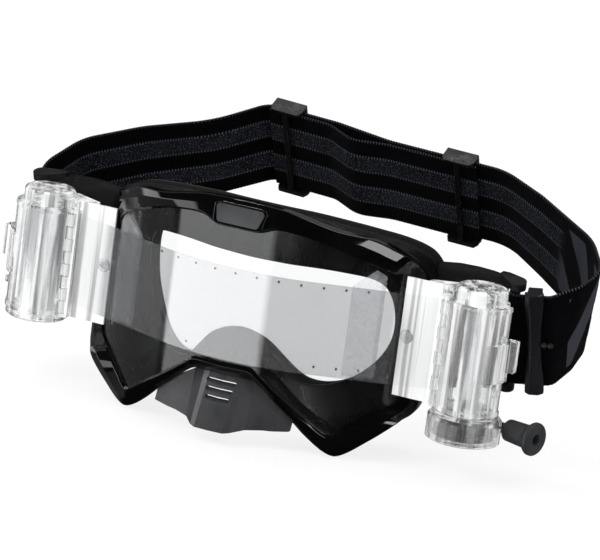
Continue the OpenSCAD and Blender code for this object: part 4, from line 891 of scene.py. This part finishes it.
STAYING = {
    "outrigger_left": ARM_PLASTIC, "outrigger_right": ARM_PLASTIC, "lens": LENS_SHEET, "lens_seal": SEAL_RUBBER,
    "badge_plate": BADGE_PLASTIC, "supply_housing": CANISTER_CLEAR, "takeup_housing": CANISTER_CLEAR,
    "supply_door": CANISTER_CLEAR, "takeup_door": CANISTER_CLEAR, "supply_cap": CANISTER_CLEAR,
    "takeup_cap": CANISTER_CLEAR, "supply_base": CANISTER_CLEAR, "supply_hinge_pin": PIN_CLEAR,
    "takeup_hinge_pin": PIN_CLEAR, "supply_core": CORE_PLASTIC, "takeup_core": DARK_CORE,
    "supply_roll": FILM_ROLL, "takeup_roll": FILM_ROLL, "film_strip": FILM_SHEET, "film_guides": GUIDE_CLEAR,
    "snap_posts": PIN_CLEAR, "pulley_housing": DRUM_CLEAR, "pulley_cover": DRUM_CLEAR,
    "return_pulley": DRIVE_PLASTIC, "return_spring": SPRING_STEEL, "ratchet_wheel": CORE_PLASTIC,
    "ratchet_pawls": DRIVE_PLASTIC, "cord_bush": BUSH_METAL, "handle": HANDLE_RUBBER,
    "handle_plug": PLUG_PLASTIC, "anchor_bars": ARM_PLASTIC, "slider_left": SLIDER_PLASTIC,
    "slider_right": SLIDER_PLASTIC, "strap_keeper": KEEPER_PLASTIC, "keeper_balls": PLUG_PLASTIC}
BEVELS = {"outrigger_left": 0.7, "outrigger_right": 0.7, "badge_plate": 0.35, "slider_left": 0.4,
          "slider_right": 0.4, "strap_keeper": 0.4, "handle": 0.25, "supply_door": 0.2, "takeup_door": 0.2,
          "supply_housing": 0.2, "takeup_housing": 0.2}
for node, finish in STAYING.items():
    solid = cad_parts[node]
    solid.data.materials.clear()
    solid.data.materials.append(finish)
    if node in BEVELS:
        add_modifier(solid, "WELD", merge_threshold=0.00001)
        crisp(solid, BEVELS[node], 2, 30)

# ---- studio ----

WHITE_LEVEL, DIFFUSE_LEVEL = 1.03, 0.7
CARD_LEVEL, BROW_LEVEL, SIDE_LEVEL, BEHIND_LEVEL, FRONT_LEVEL = 2.3, 2.6, 0.2, 0.2, 0.012
FLOOR_REACH, FLOOR_DROP, OWN_LIGHT = 9.0, 0.0004, 0.8


def by_share(tree, share, first, second):
    """Value between two, by a share."""
    return add(tree, "Mix", {0: share, 2: first, 3: second}).outputs[0]


def between(tree, value, low, high, soft, level):
    """A level where a value lies between two limits, fading to nothing over a soft edge outside them."""
    rise, fall = ramp(tree, value, low - soft, low, 0.0, 1.0), ramp(tree, value, high, high + soft, 1.0, 0.0)
    return maths(tree, "MULTIPLY", maths(tree, "MULTIPLY", rise, fall), level)


def add_world():
    """Plain pale room. Diffuse light comes evenly from it, and the camera and clear plastic see it white. Gloss
    sees it brighter behind the goggles, dim in front, pale at the left side, and with two light cards at the
    front left: a low one that the lens and film mirror, and one above it that the rim does."""
    world = bpy.data.worlds.new("room")
    bpy.context.scene.world = world
    world.use_nodes = True
    tree = world.node_tree
    ground = tree.nodes["Background"]
    x, y, z = add(tree, "SeparateXYZ", {0: add(tree, "TexCoord").outputs["Generated"]}).outputs
    azimuth = maths(tree, "ARCTAN2", x, maths(tree, "MULTIPLY", y, -1.0))
    behind = spread(tree, y, FRONT_LEVEL, BEHIND_LEVEL, 0.2, 0.95)
    side = ramp(tree, azimuth, math.radians(-64), math.radians(-62), SIDE_LEVEL, 0.0)
    card_left = ramp(tree, azimuth, math.radians(-60), math.radians(-58), 0.0, CARD_LEVEL)
    card_right = ramp(tree, azimuth, math.radians(-3), math.radians(1), 1.0, 0.0)
    card = between(tree, z, -0.52, -0.06, 0.06, maths(tree, "MULTIPLY", card_left, card_right))
    brow_card = between(tree, z, 0.16, 0.42, 0.05, between(tree, azimuth, -1.85, -0.6, 0.05, BROW_LEVEL))
    gloss = behind
    for part in (card, brow_card, between(tree, z, -0.55, 0.3, 0.1, side)):
        gloss = maths(tree, "MAXIMUM", gloss, part)
    rays = add(tree, "LightPath").outputs
    through = spread(tree, y, 0.1, WHITE_LEVEL, -0.15, 0.3)
    strength = by_share(tree, rays["Is Glossy Ray"], DIFFUSE_LEVEL, gloss)
    strength = by_share(tree, rays["Is Transmission Ray"], strength, through)
    strength = by_share(tree, rays["Is Camera Ray"], strength, WHITE_LEVEL)
    tree.links.new(strength, ground.inputs["Strength"])
    ground.inputs["Color"].default_value = (1, 1, 1, 1)


def add_floor():
    """Pale floor that carries the object's soft shadow: a white surface, most of whose light is its own where
    the camera or clear plastic sees it."""
    made, tree, surface, _ = new_finish("floor_finish", (0.93, 0.93, 0.93), 0.9)
    rays = add(tree, "LightPath").outputs
    seen = maths(tree, "MAXIMUM", rays["Is Camera Ray"], rays["Is Transmission Ray"])
    glow = add(tree, "Emission", {"Color": (1, 1, 1, 1), "Strength": WHITE_LEVEL}).outputs[0]
    share = maths(tree, "MULTIPLY", seen, OWN_LIGHT)
    whole = add(tree, "MixShader", {0: share, 1: surface.outputs[0], 2: glow}).outputs[0]
    tree.links.new(whole, tree.nodes["Material Output"].inputs["Surface"])
    level = CAD_BOX[0][2] - FLOOR_DROP
    corners = [(x * FLOOR_REACH, y * FLOOR_REACH, level) for x, y in ((-1, -1), (1, -1), (1, 1), (-1, 1))]
    floor = mesh_piece("floor", corners, [[0, 1, 2, 3]], made, body=None)
    floor.visible_glossy = False


def add_lamp(name, at, aim, size, power, width=None, mirrored=True):
    """Soft lamp at a place, turned to a point, square or with a width of its own, hidden from the camera. A
    lamp that is not mirrored lights the surfaces but leaves no reflection on them."""
    data = bpy.data.lights.new(name, "AREA")
    data.shape, data.size, data.size_y, data.energy = "RECTANGLE", size, width or size, power
    lamp = bpy.data.objects.new(name, data)
    lamp.location = at
    lamp.rotation_mode = "QUATERNION"
    lamp.rotation_quaternion = (Vector(aim) - Vector(at)).to_track_quat("-Z", "Y")
    lamp.visible_camera = False
    lamp.visible_glossy = mirrored
    bpy.context.scene.collection.objects.link(lamp)


bpy.context.scene.view_settings.view_transform = "Standard"
add_world()
add_floor()
MIDDLE = (0.01, 0.03, 0.01)
add_lamp("key_lamp", (-0.7, -0.9, 1.1), MIDDLE, 0.7, 11.0, mirrored=False)
add_lamp("top_lamp", (0.25, 0.5, 1.3), MIDDLE, 0.5, 3.0)
add_lamp("strip_lamp", (-0.42, 0.2, 1.15), MIDDLE, 0.5, 2.0, 0.05)
add_lamp("right_lamp", (1.2, -0.5, 0.5), MIDDLE, 0.4, 3.5)
